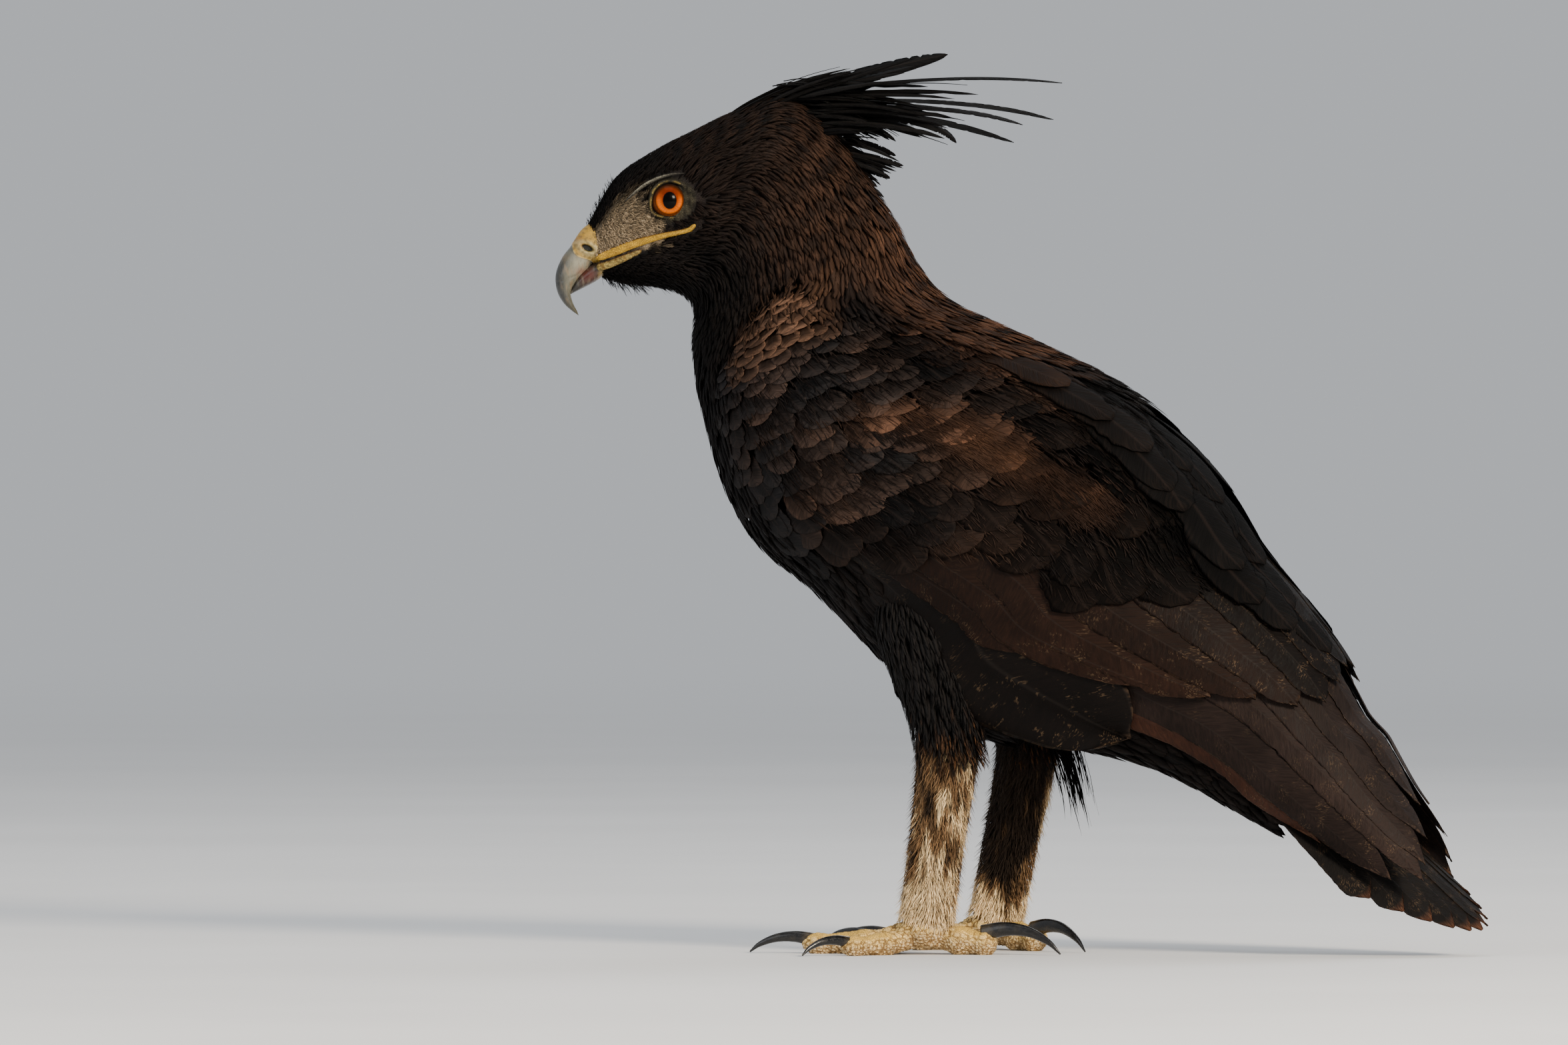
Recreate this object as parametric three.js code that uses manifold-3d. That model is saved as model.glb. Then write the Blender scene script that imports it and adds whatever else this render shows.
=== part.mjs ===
// Long-crested eagle, standing still, life size. Millimetres, +Z up; the bird faces -Y and its left is +X.
// It is modelled about the middle plane x = 0 and shifted along Y at the end, so that the origin lies on the
// floor under the middle of its box.
import * as THREE from "three";
import { LoftGeometry } from "three/addons/geometries/LoftGeometry.js";
import { mergeVertices } from "three/addons/utils/BufferGeometryUtils.js";
import Module from "manifold-3d";

const wasm = await Module();
wasm.setup();

// ---------- driving dimensions ----------
const gap = 0.3; // between pieces that touch
const originShift = 48.4; // from y = 0 between the feet to the middle of the box
const headTurn = THREE.MathUtils.degToRad(21); // the head looks to the bird's left
const turnAxisY = -43; // the upright line that the head and the neck turn about
const headEnd = 5.6; // the row of the outline where the head meets the neck
const neckEnd = 9.35; // and where the neck meets the trunk
const seam = 0.03; // the gap there, in rows
const turnEnd = 9.6; // the neck's twist runs out here

// The feathered outline in the middle plane, from the bill to the tip of the tail. Each row is one section:
// its back and belly points as [y, z], half its width, and how square it is (2 is an ellipse).
const outline = [
  { at: "bill base", back: [-149.5, 321], belly: [-144, 297], half: 10.5, square: 2.2 },
  { at: "forehead", back: [-137.5, 341], belly: [-132.5, 294.5], half: 17, square: 2.3 },
  { at: "eye", back: [-120, 353], belly: [-119.5, 293], half: 23, square: 2.4 },
  { at: "crown", back: [-103.5, 361.5], belly: [-110, 290.5], half: 27, square: 2.3 },
  { at: "rear crown", back: [-84.5, 370.5], belly: [-104.5, 286], half: 29.5, square: 2.1 },
  { at: "crest root", back: [-63.5, 376.5], belly: [-102.5, 280.5], half: 31.5, square: 2 },
  { at: "occiput", back: [-43, 363], belly: [-103, 274], half: 33, square: 2 },
  { at: "nape", back: [-25, 338.5], belly: [-103.5, 266.5], half: 35, square: 2 },
  { at: "mid neck", back: [-12.5, 319], belly: [-103.5, 258], half: 38, square: 2 },
  { at: "neck base", back: [-3.5, 300.5], belly: [-102.5, 246], half: 44, square: 2 },
  { at: "shoulder", back: [11.5, 285.5], belly: [-98.5, 232], half: 54, square: 2 },
  { at: "upper breast", back: [37.5, 273.5], belly: [-93.5, 214.5], half: 63, square: 2 },
  { at: "breast", back: [58.5, 264], belly: [-85, 194.5], half: 68, square: 2 },
  { at: "lower breast", back: [80, 254], belly: [-72.5, 176.5], half: 70, square: 2 },
  { at: "belly", back: [101, 241], belly: [-52, 160.5], half: 70, square: 2 },
  { at: "lower belly", back: [121.5, 223], belly: [-33, 142.5], half: 67, square: 2 },
  { at: "thighs", back: [139, 202], belly: [-15.5, 125], half: 62, square: 2 },
  { at: "hocks", back: [152.5, 180], belly: [-4.5, 106], half: 56, square: 2 },
  { at: "rump", back: [171.5, 156], belly: [55.5, 85.5], half: 50, square: 2 },
  { at: "secondary tips", back: [190, 131.5], belly: [101, 78], half: 44, square: 2 },
  { at: "primaries", back: [206.5, 101], belly: [136, 64.5], half: 39, square: 2 },
  { at: "tail coverts", back: [221, 75], belly: [164.5, 49.5], half: 34, square: 2 },
  { at: "wing tips", back: [235.5, 54], belly: [196, 28.5], half: 30, square: 2 },
  { at: "tail", back: [245, 32], belly: [221, 15.5], half: 28, square: 2 },
];

// Behind the thighs the trunk leaves the outline to the wings, and ends in the rump and the tail's coverts.
const rumpRows = [
  { at: "loin", back: [135, 200], belly: [-15, 125], half: 58, square: 2 },
  { at: "flank", back: [144, 177], belly: [8, 108], half: 51, square: 2 },
  { at: "vent", back: [152, 151], belly: [58, 92], half: 38, square: 2.1 },
  { at: "under tail", back: [164, 124], belly: [104, 81], half: 28, square: 2.3 },
  { at: "tail root", back: [174, 103], belly: [135, 66], half: 21, square: 2.5 },
  { at: "covert tips", back: [178, 84], belly: [154, 55.5], half: 11, square: 2.5 },
];
const trunkRows = [...outline.slice(0, 16), ...rumpRows];
const ventTuft = [[-15, 55, 98], [-15, 62, 83], [-14, 66.5, 64]]; // a loose lock that hangs behind the legs

// The folded wing on the outline: the angles from the back between which it lies, half its width and its
// thickness.
const wingRows = [
  { row: 8.1, from: 82, to: 106, half: 43, thick: 4 },
  { row: 8.6, from: 66, to: 122, half: 49, thick: 8 },
  { row: 9.2, from: 55, to: 134, half: 57, thick: 12 },
  { row: 10, from: 46, to: 140, half: 67, thick: 14 },
  { row: 11, from: 37, to: 143, half: 74, thick: 14 },
  { row: 12, from: 29, to: 144, half: 77, thick: 13 },
  { row: 13, from: 22, to: 144, half: 78, thick: 12 },
  { row: 14, from: 15, to: 144, half: 77, thick: 10 },
  { row: 15, from: 9, to: 142, half: 75, thick: 9 },
  { row: 16, from: 5, to: 139, half: 71, thick: 8 },
  { row: 17, from: 3, to: 137, half: 65, thick: 7 },
  { row: 18, from: 2.5, to: 144, half: 57, thick: 6 },
  { row: 19, from: 2.5, to: 150, half: 49, thick: 5 },
  { row: 20, from: 2.5, to: 152, half: 43, thick: 4 },
  { row: 21, from: 2.5, to: 150, half: 38, thick: 4 },
  { row: 22, from: 2.5, to: 150, half: 33, thick: 3 },
  { row: 23, from: 2.5, to: 150, half: 29, thick: 3 },
];
const coversTo = 17.2; // the covert feathers end at this row
const wingEdge = 0.8; // the wing's thickness along its edges
const wingSwell = 0.6; // how soon it swells to its width: less is sooner

// The flight feathers of one wing as [angle at the root, angle at the tip, row of the tip].
const secondaries = {
  feathers: [[6, 8, 19.2], [21, 24, 19.35], [37, 41, 19.5], [54, 59, 19.25], [71, 77, 18.75], [89, 95, 18.25],
    [106, 113, 18.3], [122, 129, 18.3]],
  rows: [17.25, 18],
  edge: 0.16, // how far a feather's corner lies ahead of its tip, in rows
  thick: 2,
  step: 0.7, // each feather's free edge lies over the next one
  depth: () => 0,
};
const primaries = {
  feathers: [[26, 17, 21.6], [40, 34, 22.25], [57, 62, 22.75], [75, 96, 22.45], [92, 112, 21.95],
    [109, 123, 21.35]],
  rows: [17.8, 19.65, 20.2, 20.85],
  edge: 0.42,
  thick: 1.6,
  step: 0.5,
  depth: (row) => THREE.MathUtils.lerp(3.2, 0, THREE.MathUtils.smoothstep(row, 19.7, 20.2)),
};
const outerSpread = 4.5; // how far the first and the last vane reach past their shafts, in degrees
const backClearance = 2.6; // the wings stay this far from the middle of the back, in degrees

const tail = {
  root: new THREE.Vector3(0, 113, 140),
  tip: new THREE.Vector3(0, 253.5, 12.5),
  pairs: 4, // pairs of feathers that show beside the middle one
  half: { root: 21, tip: 33 },
  arch: 0.01, // the drop at x is arch * x * x
  roll: 22, // its left edge hangs lower, in degrees
  shorter: 0.011, // the share of its length that the feather beside the middle loses, growing as its square
  thick: 1.5,
  step: 0.9,
};

// Each plume of the crest: root, bend and tip as [y, z], its place to the left at root and tip, its width,
// and its roll in degrees.
const plumes = [
  { path: [[-66, 376], [-30, 386], [9.5, 395.2]], left: [-2, -3], wide: 10, roll: 62 },
  { path: [[-60, 378], [8, 384.6], [59, 382.5]], left: [2, 8], wide: 8, roll: 14 },
  { path: [[-56, 374], [10, 374.4], [57, 366.5]], left: [-3, -8], wide: 8.5, roll: -18 },
  { path: [[-50, 371], [4, 371.4], [41, 364]], left: [4, 12], wide: 8, roll: 22 },
  { path: [[-48, 369], [-4, 367.8], [40, 356.5]], left: [-5, -13], wide: 8.5, roll: -24 },
  { path: [[-50, 367], [-8, 366.2], [12.5, 356]], left: [1, 4], wide: 9.5, roll: 50 },
  { path: [[-58, 376], [-34, 382.5], [-6, 390]], left: [4, 6], wide: 9, roll: 40 },
  { path: [[-50, 361], [-36, 361.8], [-19, 363]], left: [6, 9], wide: 9, roll: 48 },
  { path: [[-48, 358], [-30, 356.5], [-15.5, 350.5]], left: [-4, -8], wide: 9.5, roll: -50 },
  { path: [[-44, 353], [-28, 350.5], [-13, 346]], left: [2, 4], wide: 9, roll: 54 },
  { path: [[-40, 348], [-27, 345], [-17.5, 340.5]], left: [-2, -4], wide: 8.5, roll: -54 },
];
const crestPad = { from: 4.2, to: 6.95, half: 14, high: 2.4 }; // the feathers at the plumes' roots, by row
const plumeThick = [2.4, 0.7]; // at the root and at the tip

// Sections of the bill from the head to the hook, in the same form as the outline.
const cereRows = [
  { back: [-149.4, 320.4], belly: [-145.6, 302.9], half: 9.8, square: 2 },
  { back: [-153.2, 317.2], belly: [-146.6, 302.8], half: 8.8, square: 2 },
  { back: [-156.8, 311.8], belly: [-147.8, 303.4], half: 8, square: 2 },
];
const upperRows = [
  { back: [-157.1, 311.4], belly: [-148.1, 303], half: 7.7, square: 2 },
  { back: [-161.8, 305.2], belly: [-150, 300.4], half: 6.9, square: 2 },
  { back: [-164.5, 297.9], belly: [-154, 296.4], half: 5.6, square: 2 },
  { back: [-163.8, 290.6], belly: [-157.6, 290.8], half: 3.8, square: 2 },
  { back: [-160.6, 285], belly: [-157, 286], half: 2.4, square: 2 },
  { back: [-155, 280.2], belly: [-154.4, 280.8], half: 0.7, square: 2 },
];
const lowerRows = [
  { back: [-145.5, 302.4], belly: [-144.6, 296.6], half: 7.6, square: 2 },
  { back: [-149.4, 299.8], belly: [-147.4, 295.2], half: 6.4, square: 2 },
  { back: [-154.4, 295], belly: [-152.8, 292], half: 4.6, square: 2 },
  { back: [-157, 291], belly: [-156.4, 290], half: 2, square: 2 },
];
const eye = { out: 16.4, y: -116.5, z: 330.5, radius: 8.6 };
const brow = { path: [[13, -137, 336], [21.5, -123, 341], [24, -109, 338]], radius: 3 };

const leg = {
  apart: 34, // each leg's distance from the middle plane
  footY: { left: 9, right: 23 }, // the left foot stands a little ahead of the right
  lean: { left: 1, right: 1.45 }, // the right shank leans back more
  knee: { out: 3, back: -10, up: 172, radius: 26 },
  thighTop: 128, // where the thigh bends
  hock: { back: 13.5, up: 79, radius: 16 },
  shank: [[0, 9], [4, 40], [8, 68], [11, 94]], // [back, up] of its middle
  shankRadius: 12.2,
  palm: { radius: 12, high: 7, up: 9.5 },
};
// Toes about the foot: heading in degrees from straight ahead, outwards positive; reach; radius; the claw's
// length and height.
const toes = [
  { name: "middle", heading: 5, reach: 55, radius: 5.3, claw: 25, clawUp: 8.5 },
  { name: "inner", heading: -29, reach: 40, radius: 5.7, claw: 27, clawUp: 9.5 },
  { name: "outer", heading: 48, reach: 44, radius: 4.9, claw: 22, clawUp: 8 },
  { name: "hind", heading: { left: 176, right: -144 }, reach: 33, radius: 6.2, claw: 32, clawUp: 13.5 },
];

const colours = {
  plume: 0x1c1310,
  brown: 0x38241a,
  crest: 0x120e0d,
  mottled: 0x9a8368,
  scaly: 0xc9a54e,
  claw: 0x1b1a1a,
  bill: 0x77797a,
  cere: 0xc7b04a,
  iris: 0xd9700f,
};

// ---------- curves and lofts ----------
const { lerp, clamp, smoothstep, degToRad } = THREE.MathUtils;

const steps = (from, to, count) => Array.from({ length: count + 1 }, (_, i) => lerp(from, to, i / count));

// A smooth curve through equally spaced values; t is 0 at the first and grows by one from each to the next.
function through(values, t) {
  const last = values.length - 1;
  const i = clamp(Math.floor(t), 0, last - 1);
  const w = t - i;
  const [a, b] = [values[i], values[i + 1]];
  const slopeA = i > 0 ? (b - values[i - 1]) / 2 : b - a;
  const slopeB = i + 2 <= last ? (values[i + 2] - a) / 2 : b - a;
  return (
    a * (2 * w ** 3 - 3 * w ** 2 + 1) + slopeA * (w ** 3 - 2 * w ** 2 + w) +
    b * (3 * w ** 2 - 2 * w ** 3) + slopeB * (w ** 3 - w ** 2)
  );
}

// One section of a table: its middle, the direction of its back, and its half sizes.
function sectionAt(rows, t) {
  const get = (pick) => through(rows.map(pick), t);
  const back = new THREE.Vector3(0, get((r) => r.back[0]), get((r) => r.back[1]));
  const belly = new THREE.Vector3(0, get((r) => r.belly[0]), get((r) => r.belly[1]));
  return {
    middle: back.clone().add(belly).multiplyScalar(0.5),
    up: back.clone().sub(belly).normalize(),
    high: back.distanceTo(belly) / 2,
    half: get((r) => r.half),
    square: get((r) => r.square),
  };
}

// How far the neck has turned at a row of the outline.
const turnAt = (row) => headTurn * (1 - smoothstep(row, headEnd, turnEnd));

function turned(point, angle) {
  const pivot = new THREE.Vector3(0, turnAxisY, 0);
  return point.clone().sub(pivot).applyAxisAngle(new THREE.Vector3(0, 0, 1), angle).add(pivot);
}

// The ring of a section, grown outwards by some millimetres.
function ringOf({ middle, up, high, half, square }, sides, grow) {
  const bend = (v) => Math.sign(v) * Math.abs(v) ** (2 / square);
  return steps(0, 2 * Math.PI, sides).slice(1).map((a) => {
    const p = middle.clone().addScaledVector(up, bend(Math.cos(a)) * (high + grow));
    p.x += bend(Math.sin(a)) * (half + grow);
    return p;
  });
}

// A three.js geometry as a solid that can be joined and cut.
function solid(geometry) {
  const bare = new THREE.BufferGeometry().setIndex(geometry.index);
  const merged = mergeVertices(bare.setAttribute("position", geometry.attributes.position), 1e-3);
  const corners = merged.index.array;
  const triangles = [];
  for (let i = 0; i < corners.length; i += 3) {
    const [a, b, c] = corners.slice(i, i + 3);
    if (a !== b && b !== c && a !== c) triangles.push(a, b, c);
  }
  const vertProperties = merged.attributes.position.array;
  const triVerts = new Uint32Array(triangles);
  return new wasm.Manifold(new wasm.Mesh({ numProp: 3, vertProperties, triVerts }));
}

// A loft through rings of points, all turned round first if they do not wind about the way ahead.
function loft(rings) {
  const middle = (ring) => ring.reduce((sum, p) => sum.add(p), new THREE.Vector3()).divideScalar(ring.length);
  const ahead = middle(rings[1]).sub(middle(rings[0]));
  const winding = rings[1].reduce((sum, p, i, ring) => {
    return sum.add(new THREE.Vector3().crossVectors(p, ring[(i + 1) % ring.length]));
  }, new THREE.Vector3());
  const sections = winding.dot(ahead) > 0 ? rings : rings.map((ring) => [...ring].reverse());
  return solid(new LoftGeometry(sections, { capStart: true, capEnd: true }));
}

const join = (solids) => solids.reduce((a, b) => a.add(b));

const cut = (body, ...tools) => tools.reduce((a, b) => a.subtract(b), body);

// A cut can leave slivers beside the body, which are dropped.
const mainBody = (body) => body.decompose().sort((a, b) => b.volume() - a.volume())[0];

// A tube along a curve; sizeAt gives half its width and half its height on the way from 0 to 1.
function tube(points, sizeAt, count, sides, grow = 0) {
  const curve = new THREE.CatmullRomCurve3(points);
  const run = points.at(-1).clone().sub(points[0]);
  const side = new THREE.Vector3(-run.y, run.x, 0).normalize();
  return loft(steps(0, 1, count).map((t) => {
    const up = new THREE.Vector3().crossVectors(side, curve.getTangent(t)).normalize();
    const [wide, tall] = sizeAt(t);
    return steps(0, 2 * Math.PI, sides).slice(1).map((a) =>
      curve.getPoint(t).addScaledVector(side, Math.cos(a) * (wide + grow))
        .addScaledVector(up, Math.sin(a) * (tall + grow)));
  }));
}

// One at first, then falling to nearly nothing as an ellipse does between t = from and t = 1.
const rounded = (t, from) => Math.sqrt(Math.max(1 - clamp((t - from) / (1 - from), 0, 1) ** 2, 0.04));

const ball = (centre, radius) => {
  const sphere = new THREE.SphereGeometry(radius, 10, 6);
  return solid(sphere.rotateZ(Math.PI / 2).translate(centre.x, centre.y, centre.z));
};

// ---------- head, neck and trunk ----------
function bodyLoft(rows, from, to, count, grow = 0, turn = turnAt) {
  const rings = steps(from, to, count).map((row) =>
    ringOf(sectionAt(rows, row), 18, grow).map((p) => turned(p, turn(row))));
  return loft(rings);
}

const straight = () => 0;

const eyeCentre = (side) => new THREE.Vector3(side * eye.out, eye.y, eye.z);

// The head is made looking straight ahead, and turned with all that it carries.
function headSolid() {
  const skull = bodyLoft(outline, 0, headEnd - seam, 10, 0, straight);
  const brows = [1, -1].map((side) =>
    tube(brow.path.map(([x, y, z]) => new THREE.Vector3(side * x, y, z)), (t) => {
      const size = brow.radius * rounded(Math.abs(2 * t - 1), 0);
      return [size, size];
    }, 4, 5));
  const sockets = [1, -1].map((side) => ball(eyeCentre(side), eye.radius + gap));
  return cut(join([skull, ...brows]), ...sockets);
}

const billLoft = (rows, count, grow = 0) =>
  loft(steps(0, rows.length - 1, count).map((t) => ringOf(sectionAt(rows, t), 10, grow)));

function ventLock() {
  const points = ventTuft.map((p) => new THREE.Vector3(...p));
  return tube(points, (t) => [lerp(5, 1.4, t), lerp(6, 1.6, t)], 4, 6);
}

// ---------- wings ----------
function wingRow(row) {
  const i = clamp(wingRows.findIndex((r) => r.row >= row), 1, wingRows.length - 1);
  const [a, b] = [wingRows[i - 1], wingRows[i]];
  const w = clamp((row - a.row) / (b.row - a.row), 0, 1);
  const mix = (key) => lerp(a[key], b[key], w);
  return { from: mix("from"), to: mix("to"), half: mix("half"), thick: mix("thick") };
}

// A point of the folded wing: the row of the outline, the angle from the back, and the depth under its
// surface, which swells from the body's own width at the wing's edges to the wing's width between them.
function wingPoint(side, row, angle, depth) {
  const { middle, up, high, half } = sectionAt(outline, row);
  const wing = wingRow(row);
  const way = clamp((angle - wing.from) / (wing.to - wing.from), 0, 1);
  const wide = lerp(half, wing.half, Math.sin(Math.PI * way) ** wingSwell);
  const [s, c] = [Math.sin(degToRad(angle)), Math.cos(degToRad(angle))];
  const normal = new THREE.Vector2(s / wide, c / high).normalize();
  const p = middle.clone().addScaledVector(up, c * high - normal.y * depth);
  p.x = side * Math.max(s * wide - normal.x * depth, gap);
  return p;
}

// The arm and its coverts: a shell whose sections are crescents.
const coverRows = steps(wingRows[0].row, coversTo, 12);

function wingShell(side, rows, grow = 0) {
  const arc = 6;
  return loft(rows.map((row) => {
    const wing = wingRow(row);
    const places = steps(wing.from, wing.to, arc).map((a, i) => {
      const past = (i === arc ? grow : 0) - (i === 0 ? grow : 0);
      return [a + past, Math.max(wing.thick * Math.sqrt(Math.sin((Math.PI * i) / arc)), wingEdge)];
    });
    const outer = places.map(([a]) => wingPoint(side, row, a, -grow));
    const inner = places.map(([a, deep]) => wingPoint(side, row, a, deep + grow)).reverse();
    return [...outer, ...inner];
  }));
}

// Flight feathers side by side as one stepped sheet. Each feather has four lines from root to tip, and each
// line is a flat ring of points, over the feather and back under it.
function featherSheet(side, { feathers, rows, edge, thick, step, depth }, grow = 0) {
  const last = feathers.length - 1;
  const between = (i, end) => (feathers[clamp(i, 0, last)][end] + feathers[clamp(i + 1, 0, last)][end]) / 2;
  const lines = feathers.flatMap(([root, tip, tipRow], i) =>
    [-0.97, -0.4, 0.4, 0.97].map((c) => {
      const near = c < 0 ? i - 1 : i;
      const outermost = near < 0 || near === last;
      const spread = outermost ? Math.sign(c) * (outerSpread + grow) : 0;
      const rootAngle = lerp(root, between(near, 0) + spread, Math.abs(c));
      const tipAngle = lerp(tip, between(near, 1) + spread, Math.abs(c));
      const along = [...rows, tipRow - edge * c * c + grow * 0.03];
      const points = along.map((row) => {
        const angle = lerp(rootAngle, tipAngle, (row - rows[0]) / (tipRow - rows[0]));
        return [row, Math.max(angle, backClearance), depth(row) + (step * (1 - c)) / 2];
      });
      const over = points.map(([row, angle, deep]) => wingPoint(side, row, angle, deep - grow));
      const under = points.map(([row, angle, deep]) => wingPoint(side, row, angle, deep + thick + grow));
      return [...over, ...under.reverse()];
    }));
  return loft(lines);
}

// ---------- tail ----------
// The tail as one stepped sheet: the middle feather on top, and each one beside it lower and shorter.
function tailSolid() {
  const axis = tail.tip.clone().sub(tail.root);
  const up = new THREE.Vector3(0, -axis.z, axis.y).normalize();
  const lines = steps(-tail.pairs, tail.pairs, 2 * tail.pairs).flatMap((k) =>
    [-0.48, 0, 0.48].map((c) => {
      const length = 1 - tail.shorter * k * k - 0.05 * c * c;
      const points = [0, 0.5, 0.94, 1].map((t) => {
        const half = lerp(tail.half.root, tail.half.tip, t ** 0.8);
        const x = ((k + c) / (tail.pairs + 0.5)) * half;
        const lift = tail.step * (k === 0 ? 0 : Math.sign(k) * c * 0.8);
        const p = tail.root.clone().addScaledVector(axis, t * length);
        p.addScaledVector(up, -tail.arch * x * x - lift - x * Math.sin(degToRad(tail.roll)));
        return p.setX(x * Math.cos(degToRad(tail.roll)));
      });
      const under = points.map((p) => p.clone().addScaledVector(up, -tail.thick)).reverse();
      return [...points, ...under];
    }));
  return loft(lines);
}

// ---------- crest ----------
// A plume is a cupped blade along a curve, widest past its middle and rounded at the tip.
function plumeSolid({ path, left, wide, roll }) {
  const xs = [left[0], (left[0] + left[1]) / 2, left[1]];
  const curve = new THREE.CatmullRomCurve3(path.map(([y, z], i) => new THREE.Vector3(xs[i], y, z)));
  return loft(steps(0, 1, 4).map((t) => {
    const tangent = curve.getTangent(t);
    const across = new THREE.Vector3(1, 0, 0).applyAxisAngle(tangent, degToRad(roll));
    const up = new THREE.Vector3().crossVectors(tangent, across).normalize();
    const half = (wide / 2) * (0.6 + 0.7 * t) * rounded(t, 0.55);
    const thick = lerp(...plumeThick, t);
    const place = (c, high) => curve.getPoint(t).addScaledVector(across, c * half).addScaledVector(up, high);
    return [place(-1, 0), place(0, -thick * 0.8), place(1, 0), place(0, thick * 0.3)];
  }));
}

function crestSolid() {
  const pad = loft(steps(0, 1, 5).map((t) => {
    const { middle, up, high } = sectionAt(outline, lerp(crestPad.from, crestPad.to, t));
    const size = rounded(Math.abs(2 * t - 1), 0);
    return steps(0, 2 * Math.PI, 8).slice(1).map((a) => {
      const lift = high - 1.5 + (1.5 + crestPad.high) * size * Math.sin(a);
      return middle.clone().addScaledVector(up, lift).setX(crestPad.half * size * Math.cos(a));
    });
  }));
  return join([pad, ...plumes.map(plumeSolid)]);
}

// ---------- legs ----------
const signOf = { left: 1, right: -1 };

const footMiddle = (name) => new THREE.Vector3(signOf[name] * leg.apart, leg.footY[name], 0);

const onLeg = (name, back, up, out = 0) =>
  footMiddle(name).add(new THREE.Vector3(signOf[name] * out, back * leg.lean[name], up));

function thighSolid(name, grow = 0) {
  const { knee, hock } = leg;
  const top = footMiddle(name).add(new THREE.Vector3(signOf[name] * knee.out, knee.back, knee.up));
  const path = [top, onLeg(name, 5, leg.thighTop, 3), onLeg(name, hock.back, hock.up)];
  return tube(path, (t) => {
    const ends = rounded(t, 0.85) * rounded(1 - t, 0.45);
    const wide = lerp(knee.radius, hock.radius, smoothstep(t, 0.05, 0.9)) * ends;
    return [wide * 0.85, wide];
  }, 7, 12, grow);
}

function shankSolid(name, grow = 0) {
  const path = leg.shank.map(([back, up]) => onLeg(name, back, up));
  return tube(path, (t) => {
    const wide = leg.shankRadius * (1.03 - 0.22 * t + 0.35 * t * t);
    return [wide * 0.9, wide];
  }, 4, 10, grow);
}

// The way a toe points on the floor.
function headed(name, toe) {
  const a = degToRad(toe.heading[name] ?? toe.heading);
  return new THREE.Vector3(signOf[name] * Math.sin(a), -Math.cos(a), 0);
}

function toeSolid(name, toe) {
  const { reach, radius } = toe;
  const at = (way, up) => footMiddle(name).addScaledVector(headed(name, toe), way * reach).setZ(up);
  const path = [at(0.05, 10.5), at(0.36, radius * 1.1), at(0.68, radius * 0.84), at(1, radius * 0.76)];
  return tube(path, (t) => {
    const pads = 1 + 0.1 * Math.cos(2 * Math.PI * (2.5 * t - 0.25));
    const size = radius * lerp(1.08, 0.86, t) * pads * rounded(t, 0.82);
    return [size, size];
  }, 5, 7);
}

function clawSolid(name, toe, grow = 0) {
  const at = (reach, up) => footMiddle(name)
    .addScaledVector(headed(name, toe), toe.reach + reach * toe.claw).setZ(up * toe.clawUp + 0.6);
  const path = [at(-0.2, 0.66), at(0.12, 0.8), at(0.45, 0.72), at(0.74, 0.4), at(0.92, 0)];
  const base = 0.11 * toe.claw;
  return tube(path, (t) => {
    const tall = lerp(base, 0.5, t ** 1.3);
    return [tall * 0.8, tall];
  }, 5, 6, grow);
}

// The floor is taken off underneath, so that the pads stand on small flats.
const underFloor = solid(new THREE.BoxGeometry(800, 800, 60).translate(0, 0, -30));

function footSolid(name) {
  const { radius, high, up } = leg.palm;
  const { x, y } = footMiddle(name);
  const palm = solid(new THREE.SphereGeometry(1, 9, 5).scale(radius, radius, high).translate(x, y, up));
  const foot = join([palm, ...toes.map((toe) => toeSolid(name, toe))]);
  return cut(foot, shankSolid(name, gap), ...toes.map((toe) => clawSolid(name, toe, gap)), underFloor);
}

// ---------- assembly ----------
const bird = new THREE.Group();
bird.position.y = -originShift;

// What the head carries hangs from a pivot at the neck's upright line.
const pivot = new THREE.Group();
pivot.position.y = turnAxisY;
pivot.rotation.z = headTurn;
bird.add(pivot);
const headFrame = new THREE.Group();
headFrame.position.y = -turnAxisY;
pivot.add(headFrame);

function add(name, body, color, roughness = 0.75, frame = bird) {
  const { numVert, numProp, vertProperties, triVerts } = mainBody(body).getMesh();
  const position = new Float32Array(numVert * 3);
  for (let i = 0; i < numVert; i++) {
    position.set(vertProperties.subarray(i * numProp, i * numProp + 3), i * 3);
  }
  const geometry = new THREE.BufferGeometry();
  geometry.setAttribute("position", new THREE.BufferAttribute(position, 3));
  geometry.setIndex(new THREE.BufferAttribute(triVerts, 1));
  geometry.computeVertexNormals();
  const mesh = new THREE.Mesh(geometry, new THREE.MeshStandardMaterial({ color, roughness, metalness: 0 }));
  mesh.name = name;
  frame.add(mesh);
}

// What the pieces are cut by, each grown by the gap. The wings' space runs on under the flight feathers.
const wingSpace = [1, -1].map((side) => wingShell(side, [...coverRows, 17.8, 18.5, 19.2], 1.5 * gap));
const sheetSpace = [1, -1].flatMap((side) =>
  [secondaries, primaries].map((sheet) => featherSheet(side, sheet, gap)));
const trunkSpace = bodyLoft(trunkRows, neckEnd, trunkRows.length - 1, 11, gap);
const headSpace = [
  bodyLoft(outline, 0, headEnd - seam, 10, gap, straight),
  bodyLoft(outline, headEnd, neckEnd - seam, 5, gap, (row) => turnAt(row) - headTurn),
];
const billSpace = [billLoft(upperRows, 7, gap), billLoft(cereRows, 2, gap)];

add("head", headSolid(), colours.plume, 0.8, headFrame);
add("crest", cut(crestSolid(), ...headSpace), colours.crest, 0.7, headFrame);
add("cere", billLoft(cereRows, 2), colours.cere, 0.5, headFrame);
add("bill_upper", billLoft(upperRows, 7), colours.bill, 0.35, headFrame);
add("bill_lower", cut(billLoft(lowerRows, 4), ...billSpace), colours.bill, 0.35, headFrame);
add("eye_left", ball(eyeCentre(1), eye.radius), colours.iris, 0.1, headFrame);
add("eye_right", ball(eyeCentre(-1), eye.radius), colours.iris, 0.1, headFrame);

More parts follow.
